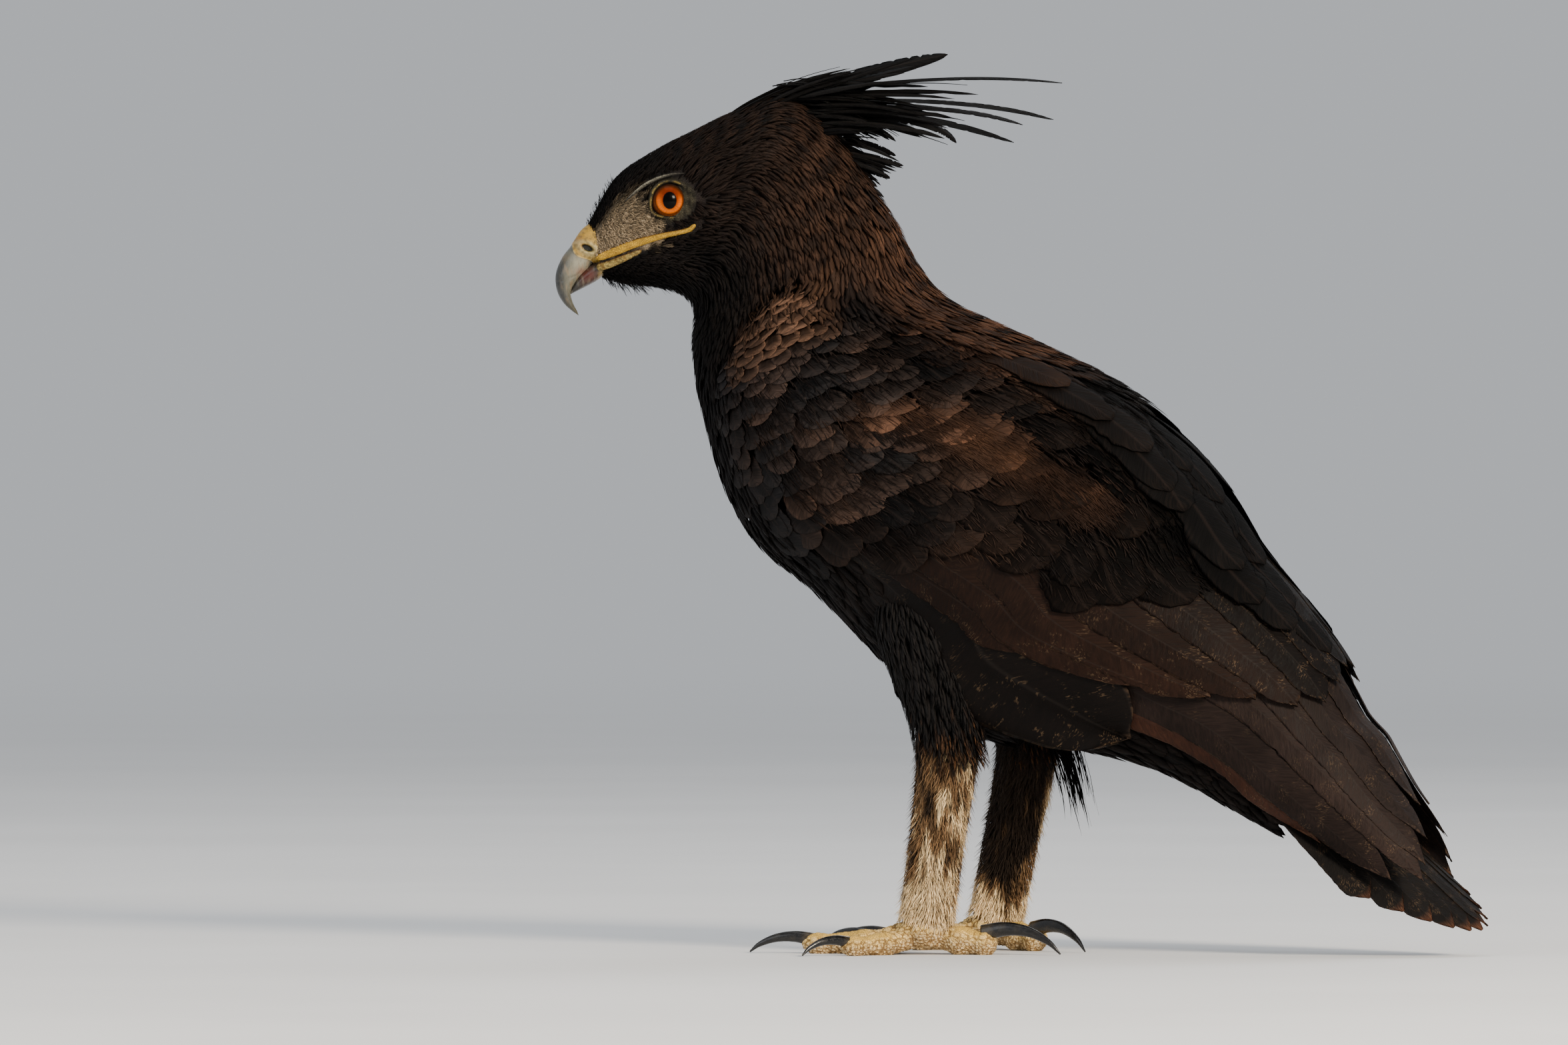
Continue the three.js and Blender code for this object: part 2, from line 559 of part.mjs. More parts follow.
add("neck", cut(bodyLoft(outline, headEnd, neckEnd - seam, 5), ...wingSpace), colours.plume);
const trunk = bodyLoft(trunkRows, neckEnd, trunkRows.length - 1, 11);
add("trunk", cut(join([trunk, ventLock()]), ...wingSpace), colours.plume);
add("tail", cut(tailSolid(), trunkSpace, ...sheetSpace), colours.brown);

for (const name of ["left", "right"]) {
  const side = signOf[name];
  add(`wing_${name}_coverts`, wingShell(side, coverRows), colours.plume);
  add(`wing_${name}_secondaries`, featherSheet(side, secondaries), colours.brown);
  add(`wing_${name}_primaries`, featherSheet(side, primaries), colours.brown);
  add(`thigh_${name}`, cut(thighSolid(name), trunkSpace, ...wingSpace, ...sheetSpace), colours.plume);
  add(`shank_${name}`, cut(shankSolid(name), thighSolid(name, gap)), colours.mottled);
  add(`foot_${name}`, footSolid(name), colours.scaly);
  for (const toe of toes) {
    add(`claw_${name}_${toe.name}`, cut(clawSolid(name, toe), underFloor), colours.claw, 0.3);
  }
}

export default bird;
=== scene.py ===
# A long-crested eagle, life size, standing with folded wings and its head turned to its left. Sizes in the
# tables are millimetres about the bird's middle plane; they are shifted and made metres as they enter a mesh.
import math

import bmesh
import bpy
import numpy as np
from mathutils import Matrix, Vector


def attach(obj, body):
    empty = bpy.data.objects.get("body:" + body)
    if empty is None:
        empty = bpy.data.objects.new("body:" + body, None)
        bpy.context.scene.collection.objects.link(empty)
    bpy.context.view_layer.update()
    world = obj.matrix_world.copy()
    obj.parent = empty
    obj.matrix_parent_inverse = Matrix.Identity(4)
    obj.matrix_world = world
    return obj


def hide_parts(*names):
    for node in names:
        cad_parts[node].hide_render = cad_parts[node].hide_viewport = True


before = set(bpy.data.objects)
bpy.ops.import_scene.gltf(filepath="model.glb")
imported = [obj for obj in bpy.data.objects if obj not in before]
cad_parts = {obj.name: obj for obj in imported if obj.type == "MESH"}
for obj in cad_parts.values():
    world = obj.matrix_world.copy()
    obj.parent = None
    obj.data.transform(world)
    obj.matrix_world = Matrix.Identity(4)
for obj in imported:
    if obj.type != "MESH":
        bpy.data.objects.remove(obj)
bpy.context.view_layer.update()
print("frame loaded")

body = {
    "shift": 48.4,  # from y = 0 between the feet to the middle of the box
    "headTurn": 21,  # degrees, to the bird's left
    "turnAxis": -43,  # y of the upright line that the head turns about
    "turnRows": (5.6, 9.6),  # the neck's twist runs out between these rows
    # one section a row, from the bill to the tail: back y, z, belly y, z, half width, squareness
    "outline": [
        (-149.5, 321, -144, 297, 10.5, 2.2), (-137.5, 341, -132.5, 294.5, 17, 2.3),
        (-120, 353, -119.5, 293, 23, 2.4), (-103.5, 361.5, -110, 290.5, 27, 2.3),
        (-84.5, 370.5, -104.5, 286, 29.5, 2.1), (-63.5, 376.5, -102.5, 280.5, 31.5, 2),
        (-43, 363, -103, 274, 33, 2), (-25, 338.5, -103.5, 266.5, 35, 2),
        (-12.5, 319, -103.5, 258, 38, 2), (-3.5, 300.5, -102.5, 246, 44, 2),
        (11.5, 285.5, -98.5, 232, 54, 2), (37.5, 273.5, -93.5, 214.5, 63, 2),
        (58.5, 264, -85, 194.5, 68, 2), (80, 254, -72.5, 176.5, 70, 2),
        (101, 241, -52, 160.5, 70, 2), (121.5, 223, -33, 142.5, 67, 2),
        (139, 202, -15.5, 125, 62, 2), (152.5, 180, -4.5, 106, 56, 2),
        (171.5, 156, 55.5, 85.5, 50, 2), (190, 131.5, 101, 78, 44, 2),
        (206.5, 101, 136, 64.5, 39, 2), (221, 75, 164.5, 49.5, 34, 2),
        (235.5, 54, 196, 28.5, 30, 2), (245, 32, 221, 15.5, 28, 2),
    ],
    # the trunk under the wings, from the thighs to the tail's coverts
    "rump": [
        (135, 200, -15, 125, 58, 2), (144, 177, 8, 108, 51, 2), (152, 151, 58, 92, 38, 2.1),
        (164, 124, 104, 81, 28, 2.3), (174, 103, 135, 66, 21, 2.5), (178, 84, 154, 55.5, 11, 2.5),
    ],
}
outline = np.array(body["outline"], float)
trunkTable = np.vstack([outline[:16], np.array(body["rump"], float)])

wing = {
    # along the outline's rows: row, first and last angle from the back in degrees, half width
    "rows": [
        (8.1, 82, 106, 43), (8.6, 66, 122, 49), (9.2, 55, 134, 57), (10, 46, 140, 67),
        (11, 37, 143, 74), (12, 29, 144, 77), (13, 22, 144, 78), (14, 15, 144, 77),
        (15, 9, 142, 75), (16, 5, 139, 71), (17, 3, 137, 65), (18, 2.5, 144, 57),
        (19, 2.5, 150, 49), (20, 2.5, 152, 43), (21, 2.5, 150, 38), (22, 2.5, 150, 33),
        (23, 2.5, 150, 29),
    ],
    "rise": (7.8, 8.4),  # the wing swells out of the neck between these rows
}
wingRows = np.array(wing["rows"], float)


def ease(x, low, high):
    # 0 below low and 1 above high, and between them three times the share's square less twice its cube
    w = np.clip((np.asarray(x, float) - low) / (high - low), 0, 1)
    return w * w * (3 - 2 * w)


def fade(x, low, high):
    return 1 - ease(x, low, high)


def within(x, low, full, start, end):
    # rising from low to full, and falling again from start to end
    return ease(x, low, full) * fade(x, start, end)


def hill(x, middle, reach):
    # 1 at the middle, falling to 0 as a bell does over some reaches
    return np.exp(-(((np.asarray(x, float) - middle) / reach) ** 2))


def blend(a, b, w):
    # a where w is 0 and b where it is 1
    return a + (b - a) * w


def unit(v):
    return v / np.maximum(np.linalg.norm(v, axis=-1, keepdims=True), 1e-9)


def ringGrid(first, last, rows, ring):
    # values along a surface, a row each, and degrees round it
    along, degrees = np.linspace(first, last, rows), np.linspace(0, 360, ring, endpoint=False)
    return np.meshgrid(along, degrees, indexing="ij")


def signedAngle(angle):
    # 0 to 360 degrees as -180 to 180
    return np.where(angle > 180, angle - 360, angle)


def through(table, t):
    # a cubic through equally spaced rows, whose slope at each row is half the step between its neighbours;
    # it runs on straight before the first row and after the last
    inside = np.clip(t, 0, len(table) - 1)
    past = (t - inside)[..., None]
    run = np.where(past > 0, table[-1] - table[-2], table[1] - table[0]) * past
    t = inside
    i = np.minimum(t.astype(int), len(table) - 2)
    w = (t - i)[..., None]
    a, b = table[i], table[i + 1]
    before, after = table[np.maximum(i - 1, 0)], table[np.minimum(i + 2, len(table) - 1)]
    slopeA = np.where((i > 0)[..., None], (b - before) / 2, b - a)
    slopeB = np.where((i + 2 < len(table))[..., None], (after - a) / 2, b - a)
    ends = a * (2 * w**3 - 3 * w**2 + 1) + b * (3 * w**2 - 2 * w**3)
    return ends + slopeA * (w**3 - 2 * w**2 + w) + slopeB * (w**3 - w**2) + run


def wobble(points, size, seed):
    # a smooth value within about -1 and 1: five sine waves in fixed directions, added up
    draws = np.random.default_rng(seed)
    ways = unit(draws.normal(size=(5, points.shape[-1])))
    phases = draws.uniform(0, 2 * np.pi, 5)
    return np.sin(points @ ways.T * (2 * np.pi / size) + phases).sum(-1) / 2.5


def turnHead(points, angle=None):
    # points turned about the upright line of the neck, by the head's whole turn if no angle is given
    angle = np.radians(body["headTurn"]) if angle is None else angle
    x, y, z = points[..., 0], points[..., 1] - body["turnAxis"], points[..., 2]
    turnedX = x * np.cos(angle) - y * np.sin(angle)
    return np.stack([turnedX, x * np.sin(angle) + y * np.cos(angle) + body["turnAxis"], z], -1)


def sectionPoint(table, row, angle, depth=0, winged=False):
    # the section is a superellipse on the line from belly to back; angle runs from the back, positive to the
    # left, and depth is measured inwards along the ellipse's normal. Where it is winged, the half width
    # swells by a sine's power of 0.6 between the wing's first and last angle. The second value is that sine.
    row, angle, depth = np.broadcast_arrays(*[np.asarray(v, float) for v in (row, angle, depth)])
    values = through(table, row)
    back, belly, half, square = values[..., 0:2], values[..., 2:4], values[..., 4], values[..., 5]
    high = np.linalg.norm(back - belly, axis=-1) / 2
    up = unit(back - belly)
    wide, swell = np.maximum(half, 0.3), np.zeros(row.shape)
    if winged:
        first, last, wingHalf = [np.interp(row, wingRows[:, 0], wingRows[:, k]) for k in (1, 2, 3)]
        swell = np.sin(np.pi * np.clip((np.abs(angle) - first) / (last - first), 0, 1))
        swell = np.abs(swell) * ease(row, *wing["rise"])
        wide = wide + (wingHalf - wide) * swell**0.6
    s, c = np.sin(np.radians(angle)), np.cos(np.radians(angle))
    normal = unit(np.stack([s / wide, c / high], -1))
    s, c = [np.sign(v) * np.abs(v) ** (2 / square) for v in (s, c)]
    flat = (back + belly) / 2 + up * (c * high - normal[..., 1] * depth)[..., None]
    return np.concatenate([(s * wide - normal[..., 0] * depth)[..., None], flat], -1), swell


def neckTurned(point, row, swell=0):
    # the head's turn runs out down the neck, and leaves the wings where they are
    twist = fade(row, *body["turnRows"]) * (1 - np.abs(swell) ** 0.3)
    return turnHead(point, np.radians(body["headTurn"]) * twist)


def outerSurface(row, angle, depth=0):
    # head, neck, back, breast and the closed wings' coverts, out to the tips of the coat
    point, swell = sectionPoint(outline, row, angle, depth, True)
    return neckTurned(point, row, swell)


def trunkSurface(row, angle, depth=0):
    # head, neck and the trunk alone, to the tail's coverts
    return neckTurned(sectionPoint(trunkTable, row, angle, depth)[0], row)


legs = {
    "apart": 34,
    "footY": {"left": 9, "right": 23},
    "lean": {"left": 1, "right": 1.45},
    "knee": (3, -10, 172, 26),  # out, back, up, radius
    "thighTop": 128,
    "hock": (13.5, 79, 16),  # back, up, radius
    "shank": [(0, 9), (4, 40), (8, 68), (11, 94)],  # back and up of its middle
    "shankRadius": 12.2,
    "thighCoat": 4,  # how deep the skin lies
    "shankCoat": 2.2,
}
signOf = {"left": 1, "right": -1}


def alongCurve(points, t):
    # a point on the smooth curve through some points, t from 0 to 1 in equal shares of their number
    return through(np.asarray(points, float), np.asarray(t, float) * (len(points) - 1))


def tubePoint(path, t, angle, wide, tall):
    # an ellipse of half sizes wide and tall carried along a curve; angle 0 is its level side and 90 degrees
    # its underside
    t, angle, wide, tall = np.broadcast_arrays(*[np.asarray(v, float) for v in (t, angle, wide, tall)])
    at = alongCurve(path, t)
    ahead = unit(alongCurve(path, t + 0.01) - alongCurve(path, t - 0.01))
    run = np.asarray(path[-1], float) - np.asarray(path[0], float)
    side = unit(np.array([-run[1], run[0], 0.0]))
    up = unit(np.cross(np.broadcast_to(side, ahead.shape), ahead))
    a = np.radians(angle)
    return at + side * (np.cos(a) * wide)[..., None] - up * (np.sin(a) * tall)[..., None]


def roundEnd(t, start):
    # 1 up to start, then falling as an ellipse does to nearly nothing at 1
    return np.sqrt(np.maximum(1 - np.clip((t - start) / (1 - start), 0, 1) ** 2, 0.002))


def onLeg(name, back, up, out=0):
    # a place above the floor, so far behind the middle of the foot, stretched by that leg's lean
    sign = signOf[name]
    return [sign * (legs["apart"] + out), legs["footY"][name] + back * legs["lean"][name], up]


def thighSurface(name, closed=False):
    # from the flank down to the hock, an egg that narrows; the coat's surface stays open at the hock
    out, back, up, radius = legs["knee"]
    hockBack, hockUp, hockRadius = legs["hock"]
    top = [signOf[name] * (legs["apart"] + out), legs["footY"][name] + back, up]
    path = [top, onLeg(name, 5, legs["thighTop"], 3), onLeg(name, hockBack, hockUp)]

    def surface(t, angle, depth=0):
        t = np.asarray(t, float)
        ends = roundEnd(1 - t, 0.45) * (roundEnd(t, 0.85) if closed else 1)
        wide = np.maximum(blend(radius, hockRadius, ease(t, 0.05, 0.9)) * ends - depth, 0.3)
        return tubePoint(path, t, angle, wide * 0.85, wide)

    return surface


def shankSurface(name):
    # from the hock down to the foot, a little narrower above its middle
    path = [onLeg(name, back, up) for back, up in reversed(legs["shank"])]

    def surface(t, angle, depth=0):
        down = 1 - np.clip(t, -0.2, 1.2)
        wide = legs["shankRadius"] * (1.03 - 0.22 * down + 0.35 * down**2) - depth
        return tubePoint(path, t, angle, wide * 0.9, wide)

    return surface

def toMetres(points):
    return (points - np.array([0, body["shift"], 0])) * 0.001


def newObject(name, data):
    made = bpy.data.objects.new(name, data)
    bpy.context.scene.collection.objects.link(made)
    return made


def withAlpha(colours):
    return np.c_[colours, np.ones(len(colours))].astype(np.float32).ravel()


def buildMesh(name, points, corners, sizes, pointValues, cornerMap=None):
    # points in millimetres, faces as one long list of corners with their sizes, then values and a map
    mesh = bpy.data.meshes.new(name)
    mesh.vertices.add(len(points))
    mesh.vertices.foreach_set("co", toMetres(points).astype(np.float32).ravel())
    mesh.loops.add(len(corners))
    mesh.loops.foreach_set("vertex_index", corners.astype(np.int32))
    mesh.polygons.add(len(sizes))
    starts = np.concatenate([[0], np.cumsum(sizes)[:-1]])
    mesh.polygons.foreach_set("loop_start", starts.astype(np.int32))
    mesh.polygons.foreach_set("loop_total", sizes.astype(np.int32))
    mesh.polygons.foreach_set("use_smooth", np.ones(len(sizes), bool))
    for key, value in pointValues.items():
        if value.ndim == 2:
            mesh.attributes.new(key, "FLOAT_COLOR", "POINT").data.foreach_set("color", withAlpha(value))
        else:
            mesh.attributes.new(key, "FLOAT", "POINT").data.foreach_set("value", value.astype(np.float32))
    if cornerMap is not None:
        layer = mesh.uv_layers.new(name="OFBake")
        layer.uv.foreach_set("vector", cornerMap.astype(np.float32).ravel())
    mesh.update()
    mesh.validate()
    return newObject(name, mesh)


def gridFaces(rows, ring, loop=False):
    # quads between each ring of points and the next, facing outwards where the rings turn from the way on to
    # the right hand; each end is closed by one flat face, or the last ring joins the first
    k, i = np.meshgrid(np.arange(rows if loop else rows - 1), np.arange(ring), indexing="ij")
    j, following = (i + 1) % ring, (k + 1) % rows
    quads = np.stack([k * ring + i, k * ring + j, following * ring + j, following * ring + i], -1).reshape(-1)
    if loop:
        return quads, np.full(rows * ring, 4)
    caps = np.concatenate([np.arange(ring)[::-1], np.arange(ring) + (rows - 1) * ring])
    return np.concatenate([quads, caps]), np.concatenate([np.full((rows - 1) * ring, 4), [ring, ring]])


def gridObject(name, points, shade, loop=False):
    # a closed surface from a grid of points, each row a ring, with a colour for each point
    rows, ring = points.shape[:2]
    corners, sizes = gridFaces(rows, ring, loop)
    colours = np.broadcast_to(shade, points.shape).reshape(-1, 3)
    made = buildMesh(name, points.reshape(-1, 3), corners, sizes, {"shade": colours})
    faceOut(made)
    return made


def faceOut(thing):
    # the faces of a closed shell turned outwards, if its volume comes out negative
    mesh = bmesh.new()
    mesh.from_mesh(thing.data)
    if mesh.calc_volume(signed=True) < 0:
        bmesh.ops.reverse_faces(mesh, faces=mesh.faces)
        mesh.to_mesh(thing.data)
    mesh.free()


def readAll(items, key, width, kind=np.float32):
    # one value of every item, a row each
    values = np.zeros(len(items) * width, kind)
    items.foreach_get(key, values)
    return values.reshape(-1, width)


def setShades(mesh, colours):
    if "shade" not in mesh.attributes:
        mesh.attributes.new("shade", "FLOAT_COLOR", "POINT")
    mesh.attributes["shade"].data.foreach_set("color", withAlpha(colours))


def finishedCopy(name, thing):
    # the object's mesh with its modifiers applied, in a new object
    graph = bpy.context.evaluated_depsgraph_get()
    mesh = bpy.data.meshes.new_from_object(thing.evaluated_get(graph), depsgraph=graph)
    mesh.name = name
    mesh.polygons.foreach_set("use_smooth", np.ones(len(mesh.polygons), bool))
    return newObject(name, mesh)


def union(name, parts):
    # overlapping closed shells made one. A point on a new edge, which comes out plain white, takes the mean
    # of its neighbours' colours.
    group = bpy.data.collections.new("parts")
    for part in parts[1:]:
        group.objects.link(part)
    join = parts[0].modifiers.new("union", "BOOLEAN")
    join.operation, join.solver, join.operand_type, join.collection = "UNION", "MANIFOLD", "COLLECTION", group
    made = finishedCopy(name, parts[0])
    for part in parts:
        bpy.data.objects.remove(part, do_unlink=True)
    bpy.data.collections.remove(group)
    mesh = made.data
    mesh.materials.clear()
    a, b = readAll(mesh.edges, "vertices", 2, np.int32).T
    colours = readAll(mesh.attributes["shade"].data, "color", 4)[:, :3].astype(float)
    for _ in range(6):
        blank = colours.min(1) > 0.99
        known = (~blank).astype(float)
        total, weight = np.zeros_like(colours), np.zeros(len(colours))
        for here, there in ((a, b), (b, a)):
            np.add.at(total, here, colours[there] * known[there, None])
            np.add.at(weight, here, known[there])
        fill = blank & (weight > 0)
        colours[fill] = total[fill] / weight[fill, None]
    setShades(mesh, colours)
    return made


def settle(thing, material, replaced=()):
    # a finished piece gets its material and is hung under the root, and the nodes that it stands for are
    # hidden
    thing.data.materials.append(material)
    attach(thing, "root")
    if replaced:
        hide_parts(*replaced)


def mergeFeathers(name, parts, material, replaced=(), closed=False):
    # feathers made one mesh. For a number of feathers, a part brings their points, how far along and across a
    # feather these lie, the feathers' lengths, their tints and colours, and their places on the map.
    points, corners, sizes, maps, start, feathers = [], [], [], [], 0, 0
    values = {key: [] for key in ("along", "across", "tint", "reach", "shade")}
    for part in parts:
        made, along, sides, length = part["shape"]
        count, stations, ring = shape = made.shape[:3]
        faces, faceSizes = gridFaces(stations, ring)
        corners.append((faces + start + np.arange(count)[:, None] * stations * ring).ravel())
        sizes.append(np.tile(faceSizes, count))
        points.append(made.reshape(-1, 3))
        single = {"along": along[None, :, None], "across": sides, "tint": part["tint"][:, None, None],
                  "reach": length[:, None, None] * 0.001}
        for key, value in single.items():
            values[key].append(np.broadcast_to(value, shape).ravel())
        values["shade"].append(np.broadcast_to(part["shade"], shape + (3,)).reshape(-1, 3))
        onMap = np.stack([np.broadcast_to(way, shape) for way in part["map"]], -1)
        maps.append(onMap.reshape(-1, 2)[corners[-1] - start])
        start += count * stations * ring
        feathers += count
    points, corners, sizes, maps = [np.concatenate(lists) for lists in (points, corners, sizes, maps)]
    values = {key: np.concatenate(lists) for key, lists in values.items()}
    piece = buildMesh(name, points, corners, sizes, values, maps)
    if closed:
        faceOut(piece)
    print(name, "feathers", feathers, "triangles", int((sizes - 2).sum()))
    settle(piece, material, replaced)

class Paint:
    # a principled material whose colours come from nodes; numbers that are the same all over are set on its
    # own sockets
    def __init__(self, name, roughness, sockets=None):
        self.material = bpy.data.materials.new(name)
        self.material.use_nodes = True
        self.tree = self.material.node_tree
        self.shader = next(node for node in self.tree.nodes if node.type == "BSDF_PRINCIPLED")
        for key, value in {"Roughness": roughness, **(sockets or {})}.items():
            self.shader.inputs[key].default_value = value

    def add(self, kind, inputs, output=0, **settings):
        # one node, its inputs set to values or joined to other nodes' outputs
        node = self.tree.nodes.new("ShaderNode" + kind)
        for key, value in settings.items():
            setattr(node, key, value)
        for key, value in inputs.items():
            if isinstance(value, bpy.types.NodeSocket):
                self.tree.links.new(value, node.inputs[key])
            else:
                node.inputs[key].default_value = value
        return node.outputs[output]

    def join(self, value, socket):
        self.tree.links.new(value, self.shader.inputs[socket])

    def math(self, operation, a, b=0.0):
        return self.add("Math", {0: a, 1: b}, operation=operation)

    def times(self, a, b):
        return self.math("MULTIPLY", a, b)

    def mix(self, factor, a, b, kind="MIX"):
        # a colour mixed with another; factor 0 keeps the first
        a, b = [(*c, 1) if isinstance(c, tuple) else c for c in (a, b)]
        return self.add("Mix", {0: factor, 6: a, 7: b}, 2, data_type="RGBA", blend_type=kind)

    def grey(self, light):
        return self.add("CombineColor", {0: light, 1: light, 2: light})

    def lit(self, colour, light):
        # a colour multiplied by a number
        return self.mix(1.0, colour, self.grey(light), "MULTIPLY")

    def span(self, value, low, high, toLow=0.0, toHigh=1.0):
        inputs = {"Value": value, "From Min": low, "From Max": high, "To Min": toLow, "To Max": toHigh}
        return self.add("MapRange", inputs, interpolation_type="SMOOTHSTEP")

    def noise(self, vector, scale, detail=3.0, rough=0.5):
        return self.add("TexNoise", {"Vector": vector, "Scale": scale, "Detail": detail, "Roughness": rough})

    def value(self, name, output="Fac"):
        return self.add("Attribute", {}, output, attribute_name=name)

    def place(self):
        return self.add("TexCoord", {}, "Object")

    def bump(self, height, distance):
        self.join(self.add("Bump", {"Height": height, "Distance": distance}), "Normal")

def paintedMaterial(name, look):
    # for skin, horn and eyes: the colour that each point carries, varied by grain, with bump from the grain
    # and from small cells
    paint = Paint(name, look["roughness"], look["sockets"])
    place = paint.place()
    if "stretch" in look:
        place = paint.add("VectorMath", {0: place, 1: look["stretch"]}, operation="MULTIPLY")
    grain = height = paint.noise(place, look["grain"], 4.0, 0.6)
    broad = paint.noise(paint.place(), look["grain"] * 0.12, 2.0)
    vary = look["vary"]
    light = paint.times(paint.span(grain, 0.25, 0.75, 1 - vary, 1 + vary),
                        paint.span(broad, 0.3, 0.7, 1 - vary / 2, 1 + vary / 2))
    grey = paint.grey(light)
    colour = paint.mix(1.0, paint.value("shade", "Color"), grey, "MULTIPLY")
    if "cells" in look:
        inputs = {"Vector": paint.place(), "Scale": look["cells"]}
        cells = paint.add("TexVoronoi", inputs, "Distance", feature="DISTANCE_TO_EDGE")
        open = paint.span(cells, 0.0, 0.14)
        colour = paint.lit(colour, paint.span(open, 0.0, 1.0, look["cellDark"], 1.0))
        height = paint.math("ADD", paint.times(grain, 0.3), open)
    paint.join(colour, "Base Color")
    low, high = max(look["roughness"] - look["gloss"], 0.02), look["roughness"] + look["gloss"]
    paint.join(paint.span(grain, 0.3, 0.7, low, high), "Roughness")
    paint.bump(height, look["bump"])
    return paint.material


def featherMaterial(name, look):
    # barbs run from the shaft to the edge and forwards. The attributes are the place along and across one
    # feather, its own tint, its length in metres and the colour of the coat where it grows.
    paint = Paint(name, look["roughness"], look["sockets"])
    times, span = paint.times, paint.span
    along, across, tint, reach = [paint.value(key) for key in ("along", "across", "tint", "reach")]
    shade = paint.value("shade", "Color")
    side = paint.math("ABSOLUTE", across)
    forwards = paint.math("SUBTRACT", along, times(side, look["slant"]))
    barb = times(forwards, times(reach, look["barbs"]))
    drift = times(across, look["drift"])
    place = paint.add("CombineXYZ", {0: barb, 1: drift, 2: times(tint, 57.0)})
    streaks = paint.noise(place, 1.0, 2.0, 0.6)
    blotches = paint.noise(paint.place(), look["blotch"], 3.0, 0.55)

    light = span(streaks, 0.25, 0.8, 1 - look["streak"], 1 + look["streak"])
    light = times(light, span(tint, 0.0, 1.0, 1 - look["vary"], 1 + look["vary"]))
    light = times(light, span(blotches, 0.3, 0.7, 0.8, 1.2))
    light = times(light, span(along, 0.0, 0.8, look["rootDark"], 1.0))
    colour = paint.lit(shade, light)

    rim = paint.math("MAXIMUM", span(side, *look["edgeAt"]), span(along, *look["tipAt"]))
    worn = span(paint.noise(place, 0.7, 2.0), 0.42, 0.6)
    fringe = times(times(rim, worn), look["fringe"])
    pale = paint.mix(1.0, colour, look["fringeGain"], "MULTIPLY")
    pale = paint.mix(look["fringeOwn"], pale, look["fringeColour"])
    colour = paint.mix(fringe, colour, pale)
    shaft = times(span(side, look["shaft"], 0.0), look["shaftShow"])
    colour = paint.mix(shaft, colour, look["shaftColour"])
    if "dust" in look:  # worn pale dashes along the barbs, in clusters
        dash = paint.add("CombineXYZ", {0: times(barb, 1.9), 1: times(across, 8.0), 2: tint})
        speck = paint.noise(dash, 1.0, 2.0, 0.7)
        cluster = paint.noise(paint.place(), 120.0, 3.0, 0.6)
        dusty = times(span(speck, 0.54, 0.63), span(cluster, 0.5, 0.64))
        dusty = times(dusty, span(along, 0.3, 1.0, 0.25, 1.0))
        colour = paint.mix(times(dusty, look["dust"]), colour, look["dustColour"])
    paint.join(colour, "Base Color")
    paint.join(span(streaks, 0.3, 0.7, look["roughness"] - 0.08, look["roughness"] + 0.1), "Roughness")
    paint.bump(streaks, look["bump"])
    return paint.material


coatLook = {
    "roughness": 0.7, "sockets": {"Specular IOR Level": 0.035}, "bump": 0.0004,
    # the barbs' slant, streaks along a metre of feather and drift across it, and how much the colour varies
    "slant": 0.16, "barbs": 1300.0, "drift": 0.9, "blotch": 55.0, "streak": 0.4, "vary": 0.18,
    "rootDark": 0.72,
    # the worn fringe: where it begins and is full across and along a feather, how strong it is, the gain on
    # the feather's colour and the share of a colour of its own
    "edgeAt": (0.5, 1.1), "tipAt": (0.72, 1.04), "fringe": 0.5, "fringeGain": (1.8, 1.6, 1.5),
    "fringeOwn": 0.06, "fringeColour": (0.1, 0.058, 0.034),
    "shaft": 0.14, "shaftShow": 0.2, "shaftColour": (0.03, 0.02, 0.016),
}

black, dusk = (0.0045, 0.0042, 0.0043), (0.0096, 0.0076, 0.0069)
brown, copper, rufous = (0.0262, 0.0152, 0.0106), (0.075, 0.036, 0.0205), (0.074, 0.038, 0.021)
loral, cream, dun = (0.36, 0.275, 0.175), (1.0, 0.74, 0.41), (0.14, 0.06, 0.022)
golden = (0.09, 0.041, 0.021)
bareGrey, yellow, ochre = (0.08, 0.07, 0.042), (0.52, 0.3, 0.032), (0.98, 0.67, 0.23)


def tinted(*layers):
    # colours laid over each other: each layer is a colour and how much it covers
    result = np.zeros(np.shape(layers[0][1]) + (3,)) + np.array(layers[0][0])
    for colour, cover in layers[1:]:
        result = blend(result, np.array(colour), np.clip(cover, 0, 1)[..., None])
    return result


def spot(points, middle, reach, scale=(1, 1)):
    # a round patch in the side view of the unturned head, about a place given by y and z
    y, z = (points[..., 1] - middle[0]) * scale[0], (points[..., 2] - middle[1]) * scale[1]
    return hill(np.hypot(y, z), 0, reach)


def bandOn(row, turn):
    # the loose paler band across the middle of the wing
    middle = np.interp(row, [11.6, 12.0, 12.5, 13.5, 14.5, 15.6], [83, 79, 71, 66, 63, 57])
    return within(row, 11.6, 12.1, 15.2, 15.8) * hill(turn, middle, 9.5)


